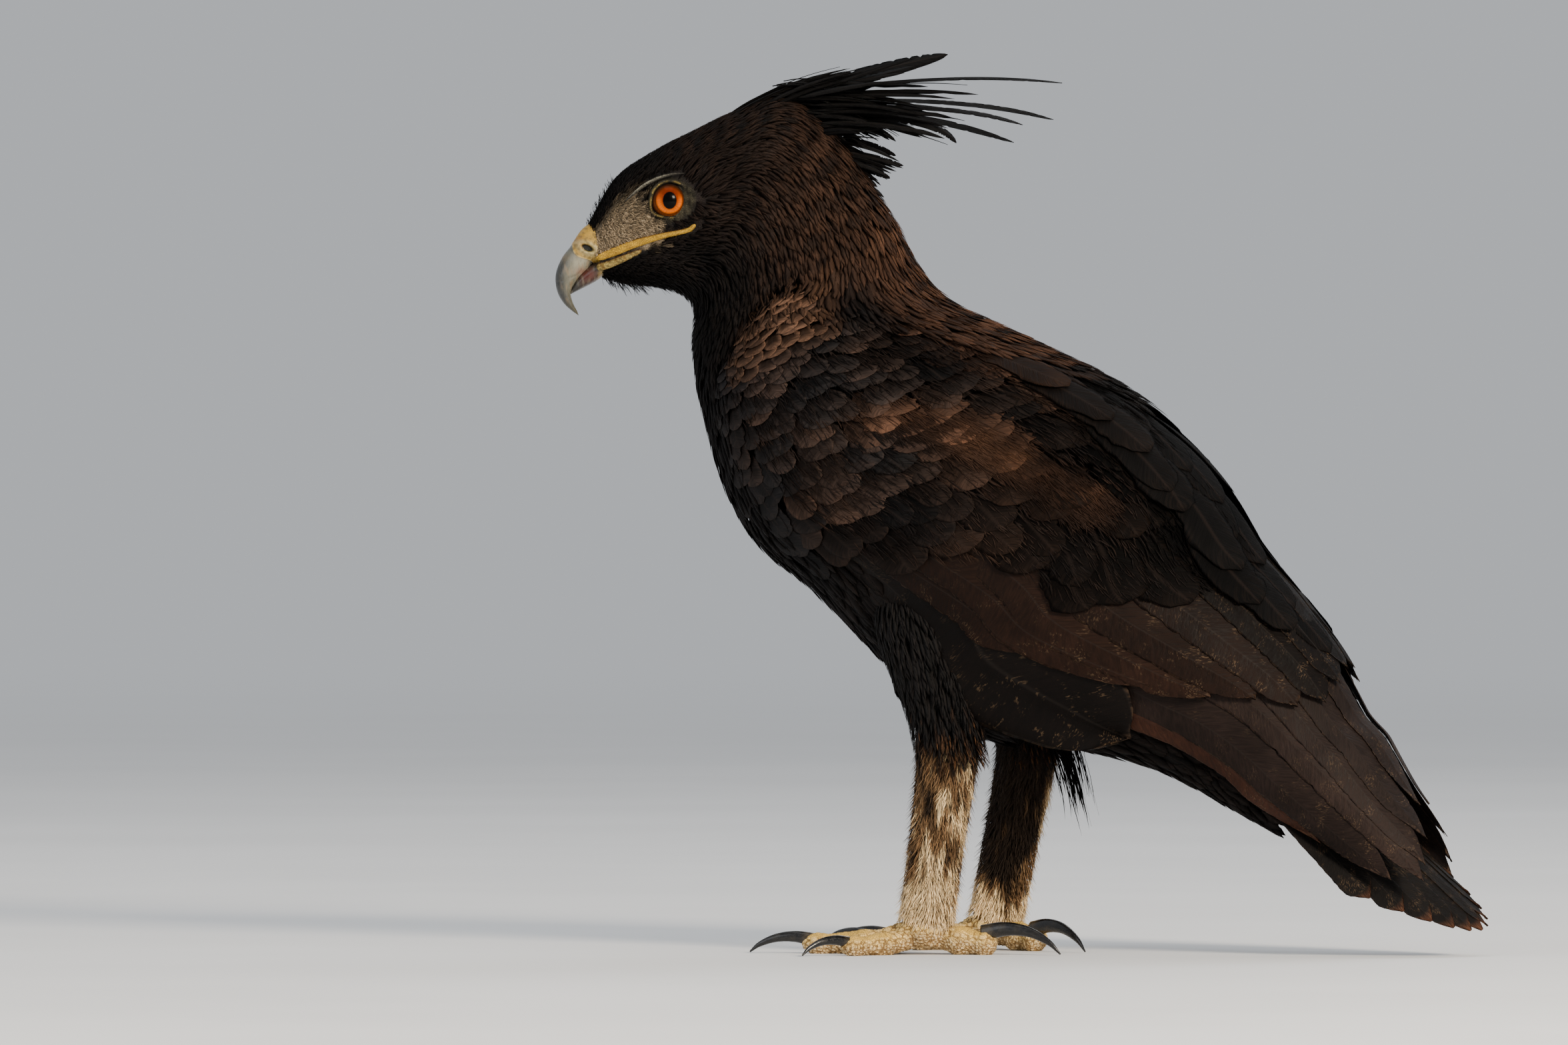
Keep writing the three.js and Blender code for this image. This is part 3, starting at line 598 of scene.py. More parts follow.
def bodyShade(row, angle):
    # the coat's colour over the body, by row and by angle from the back, alike on both sides
    turn = np.abs(angle)
    place = np.stack([row * 3, turn / 9], -1)
    patchy = 0.5 + 0.5 * wobble(place, 5.0, 3)
    fine = 0.5 + 0.5 * wobble(place, 1.6, 4)
    headSide = fade(row, 7.6, 9.2) * fade(turn, 96, 122) * ease(row, 1.8, 3.0)
    nape = within(row, 4.5, 6.5, 8.2, 9.6) * fade(turn, 60, 115)
    mantle = within(row, 7.2, 8.2, 11.4, 13.4) * fade(turn, 30, 54)
    ragged = wobble(place, 1.1, 5)
    end = 1.45 + 0.55 * ease(turn, 68, 98)
    lores = fade(row + 0.2 * ragged, end - 0.35, end + 0.3) * ease(turn + 4 * ragged, 44, 64)
    lores = lores * fade(turn + 4 * ragged, 102, 116) * (0.5 + 0.5 * ease(turn, 54, 82))
    wrist = within(row, 7.9, 8.2, 9.5, 9.95) * ease(turn, 58, 68) * fade(turn, 114, 128)
    band = bandOn(row, turn) * (0.55 + 0.45 * ease(patchy, 0.2, 0.5))
    scapular = within(row, 12, 12.6, 14, 14.6) * hill(turn, 38, 7)
    panel = ease(row, 13.9, 15.2) * ease(turn, 78, 95) * fade(turn, 122, 136)
    side = within(turn, 40, 60, 120, 145) * ease(row, 9.4, 10.5)
    darker = within(row, 9.8, 10.4, 11.6, 12.3) * hill(turn, 52, 13)
    shade = tinted(
        (black, row),
        (dusk, 0.8 * patchy * ease(turn, 20, 60) * fade(turn, 130, 150)),
        (brown, 0.8 * patchy * fine * side),
        (brown, headSide * (0.1 + 0.32 * fine)),
        (brown, nape * (0.4 + 0.5 * fine)),
        (copper, nape * 0.3 * fine),
        (copper, mantle * (0.2 + 0.6 * fine)),
        (rufous, wrist * (0.22 + 0.25 * fine)),
        (golden, band * (0.24 + 0.33 * fine)),
        (rufous, scapular * fine * 0.35),
        (brown, panel * (0.3 + 0.4 * patchy)),
        (loral, lores * (0.75 + 0.25 * fine)),
    )
    # painted shadow: a dark line on the coverts just under the scapulars' free edge
    scapularShadow = hill(turn, 40.5, 4.5) * ease(row, 13, 14.2)  # under the scapulars' free edge
    return shade * ((1 - 0.5 * darker) * (1 - 0.8 * scapularShadow))[..., None]


def shankShade(t, angle, sign):
    # cream, with long brown streaks that thin out towards the foot and lie thickest in front; on the inner
    # side, where the legs face each other, they are darker, partly their own colour and partly painted shade;
    # angle runs from the bird's left to the front
    a = np.radians(angle)
    a = a + 0.5 * t  # the streaks wind a little
    place = np.stack([t * 2.8 + 0 * a, np.cos(a) * 1.5 + 3 * sign, np.sin(a) * 1.5 + 0 * t], -1)
    fine = np.stack([t * 6 + 0 * a, np.cos(a) * 7 + 3 * sign, np.sin(a) * 7 + 0 * t], -1)
    medium = fine * np.array([0.9, 0.5, 0.5])
    streaky = 0.3 * wobble(place, 1.15, 12) + 0.55 * wobble(medium, 1.3, 15) + 0.35 * wobble(fine, 1.5, 13)
    a = a - 0.5 * t
    # darker on the inner side, where the legs face each other: partly the streaks' own colour, partly painted
    # shade
    inner = ease(-sign * np.cos(a), -0.1, 0.7)
    share = np.interp(t, [0, 0.12, 0.3, 0.55, 0.75, 0.95], [1.7, 1.1, 0.84, 0.9, 0.66, 0.05])
    share = share + 0.26 * np.sin(a) * fade(t, 0.62, 0.86) + 0.95 * inner * fade(t, 0.72, 0.93)
    patches = ease(streaky + 1.7 * share - 0.95, -0.3, 0.4)
    top = fade(t + 0.08 * np.sin(a) + 0.06 * wobble(fine, 1.5, 14), 0.0, 0.2)
    deep = ease(streaky + 1.7 * share - 1.6, -0.2, 0.8)
    return tinted((cream, t + 0 * a), (dun, 0.9 * patches), (dusk, 0.93 * deep), (black, top))


coatDepth = {
    "rows": [0, 1, 2, 3, 4, 5, 6, 7, 8, 9, 10, 12, 15, 18],
    "depth": [0.7, 0.9, 1.4, 2, 2.5, 3, 3.5, 4, 4.5, 4.8, 5.2, 5.8, 6, 5],
}


def depthAt(row):
    return np.interp(row, coatDepth["rows"], coatDepth["depth"])

eye = {"out": 16.4, "y": -116.5, "z": 330.5, "radius": 8.6, "bulge": 0.1, "iris": 6.2, "pupil": (3.1, 3.85)}
hollow = {"middle": (-133, 321), "reach": 9, "scale": (1, 1.3)}  # before the eye
lids = {
    "middle": (-116.0, 331.0),  # y and z of the opening
    "radius": (8.35, 8.0),
    "out": 20.3,
    "tube": (0.95, 1.4),  # about the opening and outwards
    # where round the opening the front corner is drawn out and the upper rim overhangs, how far round that
    # reaches, and how far out
    "corner": (218, 26, 1.3),
    "overhang": (90, 60, 0.45),
    "bare": (9.6, 11.8),  # the bare skin round the eye runs out between these distances
}
browRidge = {
    "path": [(-135.5, 330.0), (-131.75, 333.4), (-127.5, 336.9), (-122, 339.9), (-116, 341.8), (-110, 342.4)],
    "size": (0.62, 0.75),
    "out": 0.35,  # beyond the coat beside it
}
mouth = {
    "upper": [
        (-147.6, 305.0), (-140, 308.1), (-131.8, 311.4), (-120, 314.8), (-112.5, 316.4), (-108.2, 317.6),
        (-105.4, 319.9),
    ],  # y and z
    "lower": [(-146.8, 300.9), (-141, 302.8), (-134.5, 305.6), (-128.5, 308.4)],
    "upperTall": [1.7, 2.2, 2.1, 1.45, 1.2, 1.15, 1.0],
    "lowerTall": [1.9, 1.9, 1.5, 0.8],
}


def sideDistance(points, centre):
    # how far points of the head lie from a place in its side view, and the points with the head unturned
    straight = turnHead(points, -np.radians(body["headTurn"]))
    return np.hypot(straight[..., 1] - centre[0], straight[..., 2] - centre[1]), straight


def onFace(places):
    # the row, angle and outward place of points given by y and z on the left of the unturned head
    rows, angles = np.meshgrid(np.linspace(-0.2, 4, 211), np.linspace(15, 165, 226), indexing="ij")
    _, grid = sideDistance(outerSurface(rows, angles), (0, 0))
    grid = grid.reshape(-1, 3)
    places = np.asarray(places, float)
    nearest = np.array([np.argmin(np.hypot(grid[:, 1] - y, grid[:, 2] - z)) for y, z in places])
    return rows.ravel()[nearest], angles.ravel()[nearest], grid[nearest, 0]


def skinPoint(row, angle):
    # under the coat, with a socket about each eye and a hollow before it
    points = outerSurface(row, angle, depthAt(row))
    r, straight = sideDistance(points, (eye["y"], eye["z"]))
    deeper = spot(straight, hollow["middle"], hollow["reach"], hollow["scale"])
    onSide = ease(np.abs(straight[..., 0]), 6, 12) * (row < 4.5)
    folds = 0.16 * np.sin(r * 2.5 + 1.2 * np.sin(straight[..., 1])) * hill(r, 10.6, 1.8)
    inwards = onSide * (2.0 * fade(r, 7.5, 11.5) + 0.9 * deeper + folds)
    straight = straight - np.stack([np.sign(straight[..., 0]) * inwards, 0 * r, 0 * r], -1)
    return turnHead(straight)


def skinShade(row, angle, points):
    # the coat's own colours, darkened as painted shade under the feathers, and bare skin round the eye, with
    # painted shadow under the brow
    r, straight = sideDistance(points, lids["middle"])
    bare = fade(r, *lids["bare"]) * (row < 4.5) * (np.abs(straight[..., 0]) > 12)
    # painted shadow: the bare skin just under the brow ridge turns dark; below the eye the skin is only
    # darker
    above = ease(straight[..., 2] - lids["middle"][1], 3, 8) * ease(r, 8.8, 9.6)
    below = ease(lids["middle"][1] - straight[..., 2], 4, 9) * ease(r, 9.0, 10.4)
    # painted shade: the coat's colours made darker on the skin beneath the feathers
    shade = bodyShade(row, angle) * 0.85
    patchy = ease(wobble(straight, 2.6, 6), -0.6, 0.8)
    skinAndBrowShadow = blend(np.array(bareGrey) * 0.2, np.array(bareGrey) * 0.6, patchy[..., None])
    skinAndBrowShadow = blend(skinAndBrowShadow, np.array((0.016, 0.013, 0.01)), np.maximum(above, 0.8 * below)[..., None])
    return blend(shade, skinAndBrowShadow, bare[..., None])


rows = np.concatenate([np.arange(0, 3.5, 0.035), np.arange(3.5, 8, 0.1), np.arange(8, 17.7, 0.2)])
rowGrid, angleGrid = np.meshgrid(rows, np.linspace(0, 360, 132, endpoint=False), indexing="ij")
angleGrid = signedAngle(angleGrid)
points = skinPoint(rowGrid, angleGrid)
skinParts = [gridObject("outer", points, skinShade(rowGrid, angleGrid, points))]

rowGrid, angleGrid = ringGrid(8, 20.7, 70, 60)
points = trunkSurface(rowGrid, angleGrid, np.interp(rowGrid, [8, 9, 18, 20.7], [7, 6.3, 5, 3]))
# painted shade: the trunk's skin takes the coat's colours, darkened as under the feathers
skinParts.append(gridObject("inner", points, bodyShade(rowGrid, signedAngle(angleGrid)) * 0.6))


def sweep(name, path, wideAt, tallAt, shadeAt, count=60, ring=24):
    # a closed tube of changing size along a curve, rounded off at its ends
    t, angle = ringGrid(-np.pi / 2, np.pi / 2, count, ring)
    t = np.sin(t) / 2 + 0.5
    points = tubePoint(path, t, angle, wideAt(t), tallAt(t))
    return gridObject(name, points, shadeAt(t, angle, points))


def lidSwell(angles, middle, reach, size):
    # a swelling on one side of the lids' ring
    return size * hill(np.mod(angles - middle + 180, 360) - 180, 0, reach)


def lidRing(sign):
    # a ring about the opening, drawn out at the front corner, with its upper rim hanging over the eye
    angles = np.linspace(0, 360, 96, endpoint=False)[:, None]
    around = np.linspace(0, 360, 16, endpoint=False)[None, :]
    a, b = np.radians(angles), np.radians(around)
    corner = lidSwell(angles, *lids["corner"])
    grow = corner + lids["tube"][0] * np.cos(b)
    y = lids["middle"][0] + (lids["radius"][0] + grow) * np.cos(a)
    z = lids["middle"][1] + (lids["radius"][1] + grow) * np.sin(a)
    x = lids["out"] + lidSwell(angles, *lids["overhang"]) - 0.25 * corner
    x = x + lids["tube"][1] * np.sin(b) + 0 * y
    wrinkle = 0.1 * np.sin(np.radians(angles * 23)) * (np.cos(b) > 0)
    points = turnHead(np.stack([sign * (x + wrinkle), y, z], -1))
    rim = ease(np.cos(b), -0.45, 0.1) + 0 * y
    yellowish = hill(np.cos(b), 0.0, 0.4) * ease(wobble(points, 3.5, 9), -0.7, 0.5)
    shade = tinted(
        ((0.006, 0.005, 0.004), rim),
        (tuple(np.array(bareGrey) * 0.4), rim),
        ((0.24, 0.17, 0.045), 0.7 * yellowish),
        # painted shadow of the brow on the lids' upper outer rim
        ((0.02, 0.017, 0.012), 0.75 * ease(np.sin(a), 0.55, 0.9) * ease(np.cos(b), 0, 0.8)),
    )
    return gridObject("lid", points, shade, loop=True)


def browLine(sign):
    # the thin pale edge that stands over the eye
    yz = np.array(browRidge["path"])
    path = turnHead(np.c_[sign * (onFace(yz)[2] + browRidge["out"]), yz])
    size = lambda t, k: browRidge["size"][k] * roundEnd(np.abs(2 * t - 1), 0.0)

    def paleSide(t, angle, p):
        under = ease(np.sin(np.radians(angle)), -0.4, 0.5)
        return tinted(
            (dusk, t),
            ((0.22, 0.205, 0.155), hill(t, 0.45, 0.36) * (0.25 + 0.75 * under)),
            (dusk, 0.6 * ease(wobble(p, 1.6, 4), 0.1, 0.8)),
        )

    return sweep("brow", path, lambda t: size(t, 0), lambda t: size(t, 1), paleSide, 60, 18)


def lipStrip(sign, lip):
    # the bare folded skin along one edge of the mouth, behind the bill
    yz = np.array(mouth[lip])
    path = turnHead(np.c_[sign * (onFace(yz)[2] - 0.75), yz])
    ends = lambda t: roundEnd(np.abs(2 * t - 1), 0.85)
    tall = lambda t: alongCurve(np.array(mouth[lip + "Tall"])[:, None], t)[..., 0] * 0.9
    isLower = lip == "lower"

    def wrinkled(t, angle, p):
        folds = np.sin(np.radians(angle * 5) + 3 * wobble(p, 3.0, 10))
        return tinted(
            (yellow, t),
            ((0.33, 0.255, 0.09), 0.85 * isLower + 0 * t),
            ((0.16, 0.1, 0.02), 0.45 * ease(folds, 0.3, 1)),
            ((0.06, 0.045, 0.02), 0.7 * isLower * ease(wobble(p, 1.7, 11), 0.0, 0.7)),
            ((0.26, 0.14, 0.03), 0.5 * ease(wobble(p * np.array([1, 0.6, 1]), 2.2, 8), 0.2, 0.9)),
            ((0.1, 0.03, 0.015), 0.7 * ease(np.sin(np.radians(angle)), 0.45, 0.9)),
        )

    return sweep("lip", path, lambda t: 1.5 * ends(t), lambda t: tall(t) * ends(t), wrinkled, 70, 20)


for name, sign in signOf.items():
    skinParts += [lidRing(sign), browLine(sign), lipStrip(sign, "upper"), lipStrip(sign, "lower")]
    # painted shade: the legs' skin takes the coat's colours, darkened as under the feathers
    t, angle = ringGrid(0, 1, 40, 40)
    thigh = thighSurface(name, closed=True)(t, angle, legs["thighCoat"])
    skinParts.append(gridObject("thigh", thigh, np.array(black) * 0.7))
    t, angle = ringGrid(-0.15, 0.9, 50, 40)
    shank = shankSurface(name)(t, angle, legs["shankCoat"])
    skinParts.append(gridObject("shank", shank, shankShade(t, angle, sign) * 0.7))

foot = {
    "palm": (12, 7, 9.5),  # radius, half height, height of its middle
    "toes": {
        # heading from straight ahead, outwards positive; reach; radius; claw's length and height
        "middle": (5, 55, 5.3, 25, 8.5), "inner": (-29, 40, 5.7, 27, 9.5), "outer": (48, 44, 4.9, 22, 8),
        "hind": (176, 33, 6.2, 32, 13.5),
    },
    "rightHind": -144,  # the heading of the right foot's hind toe
    "voxel": 0.00058,  # metres
    "granule": 1.6,  # mm across one scale
    "granuleHigh": 0.42,
    "plate": 3.3,  # mm along one plate on top of a toe
    "plateHigh": 0.5,
}


def toeWay(name, toe):
    # the way a toe points on the floor
    heading = foot["rightHind"] if toe == "hind" and name == "right" else foot["toes"][toe][0]
    a = np.radians(heading)
    return np.array([signOf[name] * np.sin(a), -np.cos(a), 0])


def footMiddle(name, up=0.0):
    return np.array([signOf[name] * legs["apart"], legs["footY"][name], up])


def toePath(name, toe):
    # down from the palm and out along the floor, lower towards the claw as the toe thins
    _, reach, radius, _, _ = foot["toes"][toe]
    steps = [(0.05, 10.5), (0.36, radius * 1.1), (0.68, radius * 0.84), (1, radius * 0.76)]
    way = toeWay(name, toe) * reach
    return np.array([footMiddle(name) + way * share + [0, 0, up] for share, up in steps])


def toeSize(toe, t):
    # pads swell and narrow two and a half times along the toe
    pads = 1 + 0.1 * np.cos(2 * np.pi * (2.5 * t - 0.25))
    return foot["toes"][toe][2] * blend(1.08, 0.86, t) * pads * roundEnd(t, 0.82)


def cellEdge(points, size, seed):
    # for seeds jittered about a cubic lattice: how much further the second nearest seed is than the
    # nearest, over the cell's size, which is 0 on the border between two cells
    places = points / size
    home = np.floor(places)
    near = np.full((2, len(points)), 9.0)
    mixer = np.array([[127.1, 269.5, 113.5], [311.7, 183.3, 271.9], [74.7, 246.1, 124.6]])
    for step in np.stack(np.meshgrid([-1, 0, 1], [-1, 0, 1], [-1, 0, 1]), -1).reshape(-1, 3):
        cell = home + step
        mixed = np.sin(cell @ mixer + seed)
        centre = cell + 0.5 + 0.42 * (2 * np.mod(mixed * 43758.5453, 1) - 1)
        d = np.linalg.norm(places - centre, axis=1)
        closer = d < near[0]
        near[1] = np.where(closer, near[0], np.minimum(near[1], d))
        near[0] = np.where(closer, d, near[0])
    return near[1] - near[0]


def footSkin(name):
    # palm, toes and the lowest of the shank grown into one skin, then raised into plates along the toes'
    # tops and into granules elsewhere
    t, angle = ringGrid(0, 1, 60, 36)
    sizes = {toe: toeSize(toe, t) for toe in foot["toes"]}
    parts = [tubePoint(toePath(name, toe), t, angle, size, size) for toe, size in sizes.items()]
    radius, high, up = foot["palm"]
    a, b = np.pi * t, np.radians(angle)
    ball = np.stack([radius * np.sin(a) * np.cos(b), radius * np.sin(a) * np.sin(b), high * np.cos(a)], -1)
    parts += [footMiddle(name, up) + ball, shankSurface(name)(0.72 + 0.33 * t, angle, 2.6)]
    objects = [gridObject("part", part, np.array(ochre)) for part in parts]
    merged = bmesh.new()
    for thing in objects:
        merged.from_mesh(thing.data)
    mesh = bpy.data.meshes.new("foot")
    merged.to_mesh(mesh)
    merged.free()
    rough = newObject("foot", mesh)
    grow = rough.modifiers.new("grow", "REMESH")
    grow.mode, grow.voxel_size = "VOXEL", foot["voxel"]
    soften = rough.modifiers.new("soften", "SMOOTH")
    soften.factor, soften.iterations = 0.5, 6
    made = finishedCopy("foot", rough)
    for thing in objects + [rough]:
        bpy.data.objects.remove(thing, do_unlink=True)

    points = readAll(made.data.vertices, "co", 3).astype(float) * 1000 + np.array([0, body["shift"], 0])
    normals = readAll(made.data.vertices, "normal", 3)
    nearest, plate, share = np.full(len(points), 1e9), np.zeros(len(points)), np.zeros(len(points))
    for toe, (_, reach, size, _, _) in foot["toes"].items():
        line = alongCurve(toePath(name, toe), np.linspace(0, 1, 90))
        d = np.linalg.norm(points[:, None] - line[None], axis=2)
        best = d.argmin(1)
        d = d[np.arange(len(points)), best] / size
        away = np.linspace(0, reach, 90)[best]
        above = ease(normals[:, 2], 0.45, 0.75) * ease(best / 89, 0.34, 0.46) * (d < 1.5)
        closer = d < nearest
        nearest = np.where(closer, d, nearest)
        plate = np.where(closer, above, plate)
        share = np.where(closer, np.mod((reach - away) / foot["plate"], 1), share)
    bare = fade(points[:, 2], 17, 20)
    stretched = points * np.array([1, 1, 1.25])
    edge = cellEdge(stretched, foot["granule"], 3.0)
    coarse = cellEdge(stretched, foot["granule"] * 1.9, 8.0)
    top = ease(normals[:, 2], -0.1, 0.5)
    dome = blend(ease(edge, 0.02, 0.4), ease(coarse, 0.02, 0.3), top)
    scute = ease(share, 0.0, 0.12) * (1 - 0.5 * share)
    height = blend(foot["granuleHigh"] * (dome - 0.5), foot["plateHigh"] * (scute - 0.4), plate) * bare
    fold = 0.25 * wobble(points, 9, 5) * bare
    points = points + normals * (height + fold)[:, None]
    points[:, 2] = np.maximum(points[:, 2], 0)
    made.data.vertices.foreach_set("co", toMetres(points).astype(np.float32).ravel())
    made.data.update()
    groove = 1 - blend(ease(dome, 0.1, 0.8), ease(scute, 0.1, 0.5), plate)
    under = fade(normals[:, 2], -0.5, 0.4)
    shade = tinted(
        (ochre, nearest * 0),
        ((0.62, 0.38, 0.07), 0.8 * top * np.maximum(plate, 0.4)),
        ((0.62, 0.42, 0.22), 0.6 * under),
        # painted shade in the grooves between the granules and the plates
        ((0.16, 0.08, 0.028), 0.85 * groove),
        # pale granule domes: partly the scales' own pale tips, partly painted highlight
        ((0.78, 0.62, 0.4), 0.6 * ease(dome, 0.7, 1) * (1 - plate) * (1 - 0.6 * top)),
        (cream, 1 - bare),
    )
    setShades(made.data, shade)
    return made


skinParts += [footSkin("left"), footSkin("right")]
skin = union("skin", skinParts)
skinLook = {
    "roughness": 0.62, "gloss": 0.1, "grain": 1400.0, "vary": 0.22, "bump": 0.00025, "cells": 1150.0,
    "cellDark": 0.82, "sockets": {"Specular IOR Level": 0.14},
}
flesh = ["head", "neck", "trunk"] + [f"wing_{name}_coverts" for name in signOf]
flesh += [f"{part}_{name}" for part in ("thigh", "shank", "foot") for name in signOf]
settle(skin, paintedMaterial("bareSkin", skinLook), flesh)
print("skin", len(skin.data.polygons), "faces")

def eyeball(name, sign):
    # a ball whose front bulges a little within the iris; the pupil is an upright oval
    polar, around = ringGrid(0.5, 179.5, 120, 72)
    a, b = np.radians(polar), np.radians(around)
    ball, iris, (pupilWide, pupilHigh) = eye["radius"], eye["iris"], eye["pupil"]
    radius = ball + eye["bulge"] * fade(polar, 12, 44)
    y, z = np.sin(a) * np.cos(b), np.sin(a) * np.sin(b)
    x = sign * (eye["out"] + radius * np.cos(a))
    straight = np.stack([x, eye["y"] + radius * y, eye["z"] + radius * z], -1)
    hidden = 20 * (polar > 90)
    r = ball * np.hypot(y, z) + hidden
    pupil = np.hypot(ball * y / pupilWide, ball * z / pupilHigh) + hidden
    rays = 0.5 + 0.5 * np.sin(np.radians(around * 31) + 2 * wobble(straight, 5, 7))
    shade = tinted(
        ((0.008, 0.006, 0.005), r),
        ((0.42, 0.062, 0.0), fade(r, iris - 0.45, iris)),
        ((0.16, 0.016, 0.0), fade(pupil, 1.0, 1.8) * (r < 19)),
        # a bright ring with rays, kept to the lower iris as painted light; above it the iris is darkened as
        # painted shadow of the lid and brow
        ((0.72, 0.16, 0.0), hill(r, 4.9, 1.5) * (0.45 + 0.3 * rays) * (1 - 0.9 * ease(z, -0.3, 0.35))),
        ((0.09, 0.01, 0.0), 0.85 * ease(z, -0.05, 0.5) * (r < iris - 0.1)),
        ((0.05, 0.012, 0.002), hill(r, iris - 0.1, 0.5) * 0.9),
        ((0.001, 0.001, 0.001), fade(pupil, 0.94, 1.03)),
    )
    return gridObject(name, turnHead(straight), shade)


eyeLook = {
    "roughness": 0.22, "gloss": 0.04, "grain": 900.0, "vary": 0.12, "bump": 0.00002,
    "sockets": {"Coat Weight": 0.07, "Coat Roughness": 0.02, "Specular IOR Level": 0.03},
}
eyeMaterial = paintedMaterial("eyeball", eyeLook)
for name, sign in signOf.items():
    settle(eyeball(f"eyeball_{name}", sign), eyeMaterial, [f"eye_{name}"])

bill = {
    # sections of the cere, then of the upper bill to the hook, and of the lower bill
    "upper": [
        (-149.4, 320.4, -145.6, 302.9, 9.8, 2), (-153.2, 317.2, -146.6, 302.8, 8.8, 2),
        (-157.1, 311.4, -148.1, 303, 7.9, 2), (-161.8, 305.2, -150, 300.4, 6.9, 2),
        (-164.5, 297.9, -154, 296.4, 5.6, 2), (-163.8, 290.6, -157.6, 290.8, 3.8, 2),
        (-160.6, 285, -157, 286, 2.4, 2), (-155, 280.2, -154.4, 280.8, 0.7, 2),
    ],
    "lower": [
        (-142.8, 306.0, -142.2, 298.4, 8, 2), (-149.2, 303.0, -146.6, 295.0, 6.5, 2),
        (-155.2, 297.2, -152.6, 291.8, 4.8, 2), (-158.2, 291.4, -157.4, 289.4, 2.2, 2),
    ],
    # z and y of the ridge
    "ridge": [(280, 285, 290.6, 297.9, 305.2, 311.4), (-155.2, -160.6, -163.8, -164.5, -161.8, -157.1)],
    "cleft": [(-164, -156, -150), (294.5, 297.5, 301.8)],  # y, z of the upper bill's groove
    "nostril": (-151.3, 309.7),
    "nostrilSize": (2.7, 1.35),
    "nostrilSlant": -25,
}


def billPoint(table, t, angle, depth=0):
    # on the head before it turns
    return sectionPoint(np.array(bill[table], float), t, angle, depth)[0]


def nostrilPlace(straight):
    # how far out of the nostril's oval a point is: under 1 inside it
    slant = math.radians(bill["nostrilSlant"])
    y, z = straight[..., 1] - bill["nostril"][0], straight[..., 2] - bill["nostril"][1]
    long = y * math.cos(slant) + z * math.sin(slant)
    short = z * math.cos(slant) - y * math.sin(slant)
    return np.hypot(long / bill["nostrilSize"][0], short / bill["nostrilSize"][1])


share, angle = ringGrid(-0.08, 1, 90, 160)
fromTop = np.abs(signedAngle(angle))
front = 2.0 + 0.52 * np.sin(np.radians(np.clip(fromTop, 0, 150) * 1.2)) ** 1.5
ledge = 0.28 * fade(share, 0.97, 1.0) - 0.6 * ease(share, 0.985, 1.0)
points = billPoint("upper", share * front, angle, -ledge)
oval = nostrilPlace(points)
rimHigh = 0.55 * hill(oval, 1.55, 0.5) - 1.9 * fade(oval, 0.6, 1.15)
swell = 0.35 * spot(points, (-151.2, 309.4), 4.6)
folds = 0.13 * wobble(points, 1.7, 31) * (oval > 1.4)
sides = np.sign(points[..., 0])[..., None] * np.array([1.0, 0, 0])
points = points + sides * (rimHigh + swell + folds)[..., None] * (np.abs(points[..., :1]) > 3)
shade = tinted(
    ((0.42, 0.235, 0.026), share),
    ((0.17, 0.145, 0.06), 0.9 * spot(points, (-150.5, 308), 5)),
    ((0.3, 0.12, 0.02), 0.65 * spot(points, (-155, 312.6), 2.1)),
    ((0.6, 0.45, 0.2), 0.8 * ease(share, 0.93, 0.99)),
    ((0.42, 0.33, 0.15), 0.7 * hill(oval, 1.7, 0.55)),
    ((0.13, 0.085, 0.022), 0.6 * ease(wobble(points, 2.0, 33), 0.05, 0.8)),
    # painted shade: near black inside the nostril's shallow pit, for its dark hollow
    ((0.012, 0.012, 0.008), fade(oval, 0.75, 1.15)),
)
cere = gridObject("cereSkin", turnHead(points), shade)
cereLook = {
    "roughness": 0.42, "gloss": 0.08, "grain": 1800.0, "vary": 0.16, "bump": 0.00018,
    "sockets": {"Specular IOR Level": 0.4, "Subsurface Weight": 0.05},
}
settle(cere, paintedMaterial("cereSkin", cereLook), ["cere"])


def hornShade(points, upper):
    # slate at the ridge and the tip, pale grey before the cere, with horn-coloured streaks and a red blotch
    y, z = points[..., 1], points[..., 2]
    streak = wobble(np.stack([y * 1.4 + z * 0.4, points[..., 0] * 0.8, z * 0.35], -1), 2.6, 41)
    if upper:
        back = np.abs(y - np.interp(z, bill["ridge"][0], bill["ridge"][1]))
        return tinted(
            ((0.115, 0.11, 0.082), z),
            ((0.24, 0.225, 0.165), 0.85 * spot(points, (-154.5, 302.5), 5)),
            ((0.03, 0.031, 0.03), 0.9 * fade(back, 1.0, 5.4) * fade(z, 300, 311)),
            ((0.19, 0.14, 0.085), 0.55 * ease(streak, 0.1, 0.9) * ease(back, 0.5, 3)),
            ((0.2, 0.13, 0.06), 0.5 * spot(points, (-162, 306), 2)),
            ((0.07, 0.062, 0.03), 0.8 * fade(z, 279.5, 288)),
            ((0.2, 0.07, 0.045), 0.5 * spot(points, (-153.5, 299.4), 1.6, (0.6, 1))),
        )
    return tinted(
        ((0.03, 0.027, 0.02), z),
        ((0.2, 0.14, 0.045), 0.9 * ease(y, -147.2, -145.2)),
        ((0.07, 0.014, 0.009), 0.9 * spot(points, (-151, 297.6), 2.9, (0.7, 0.75))),
        ((0.02, 0.018, 0.016), 0.9 * fade(y, -156.5, -153)),
        ((0.2, 0.18, 0.13), 0.25 * ease(streak, 0.2, 1)),
    )


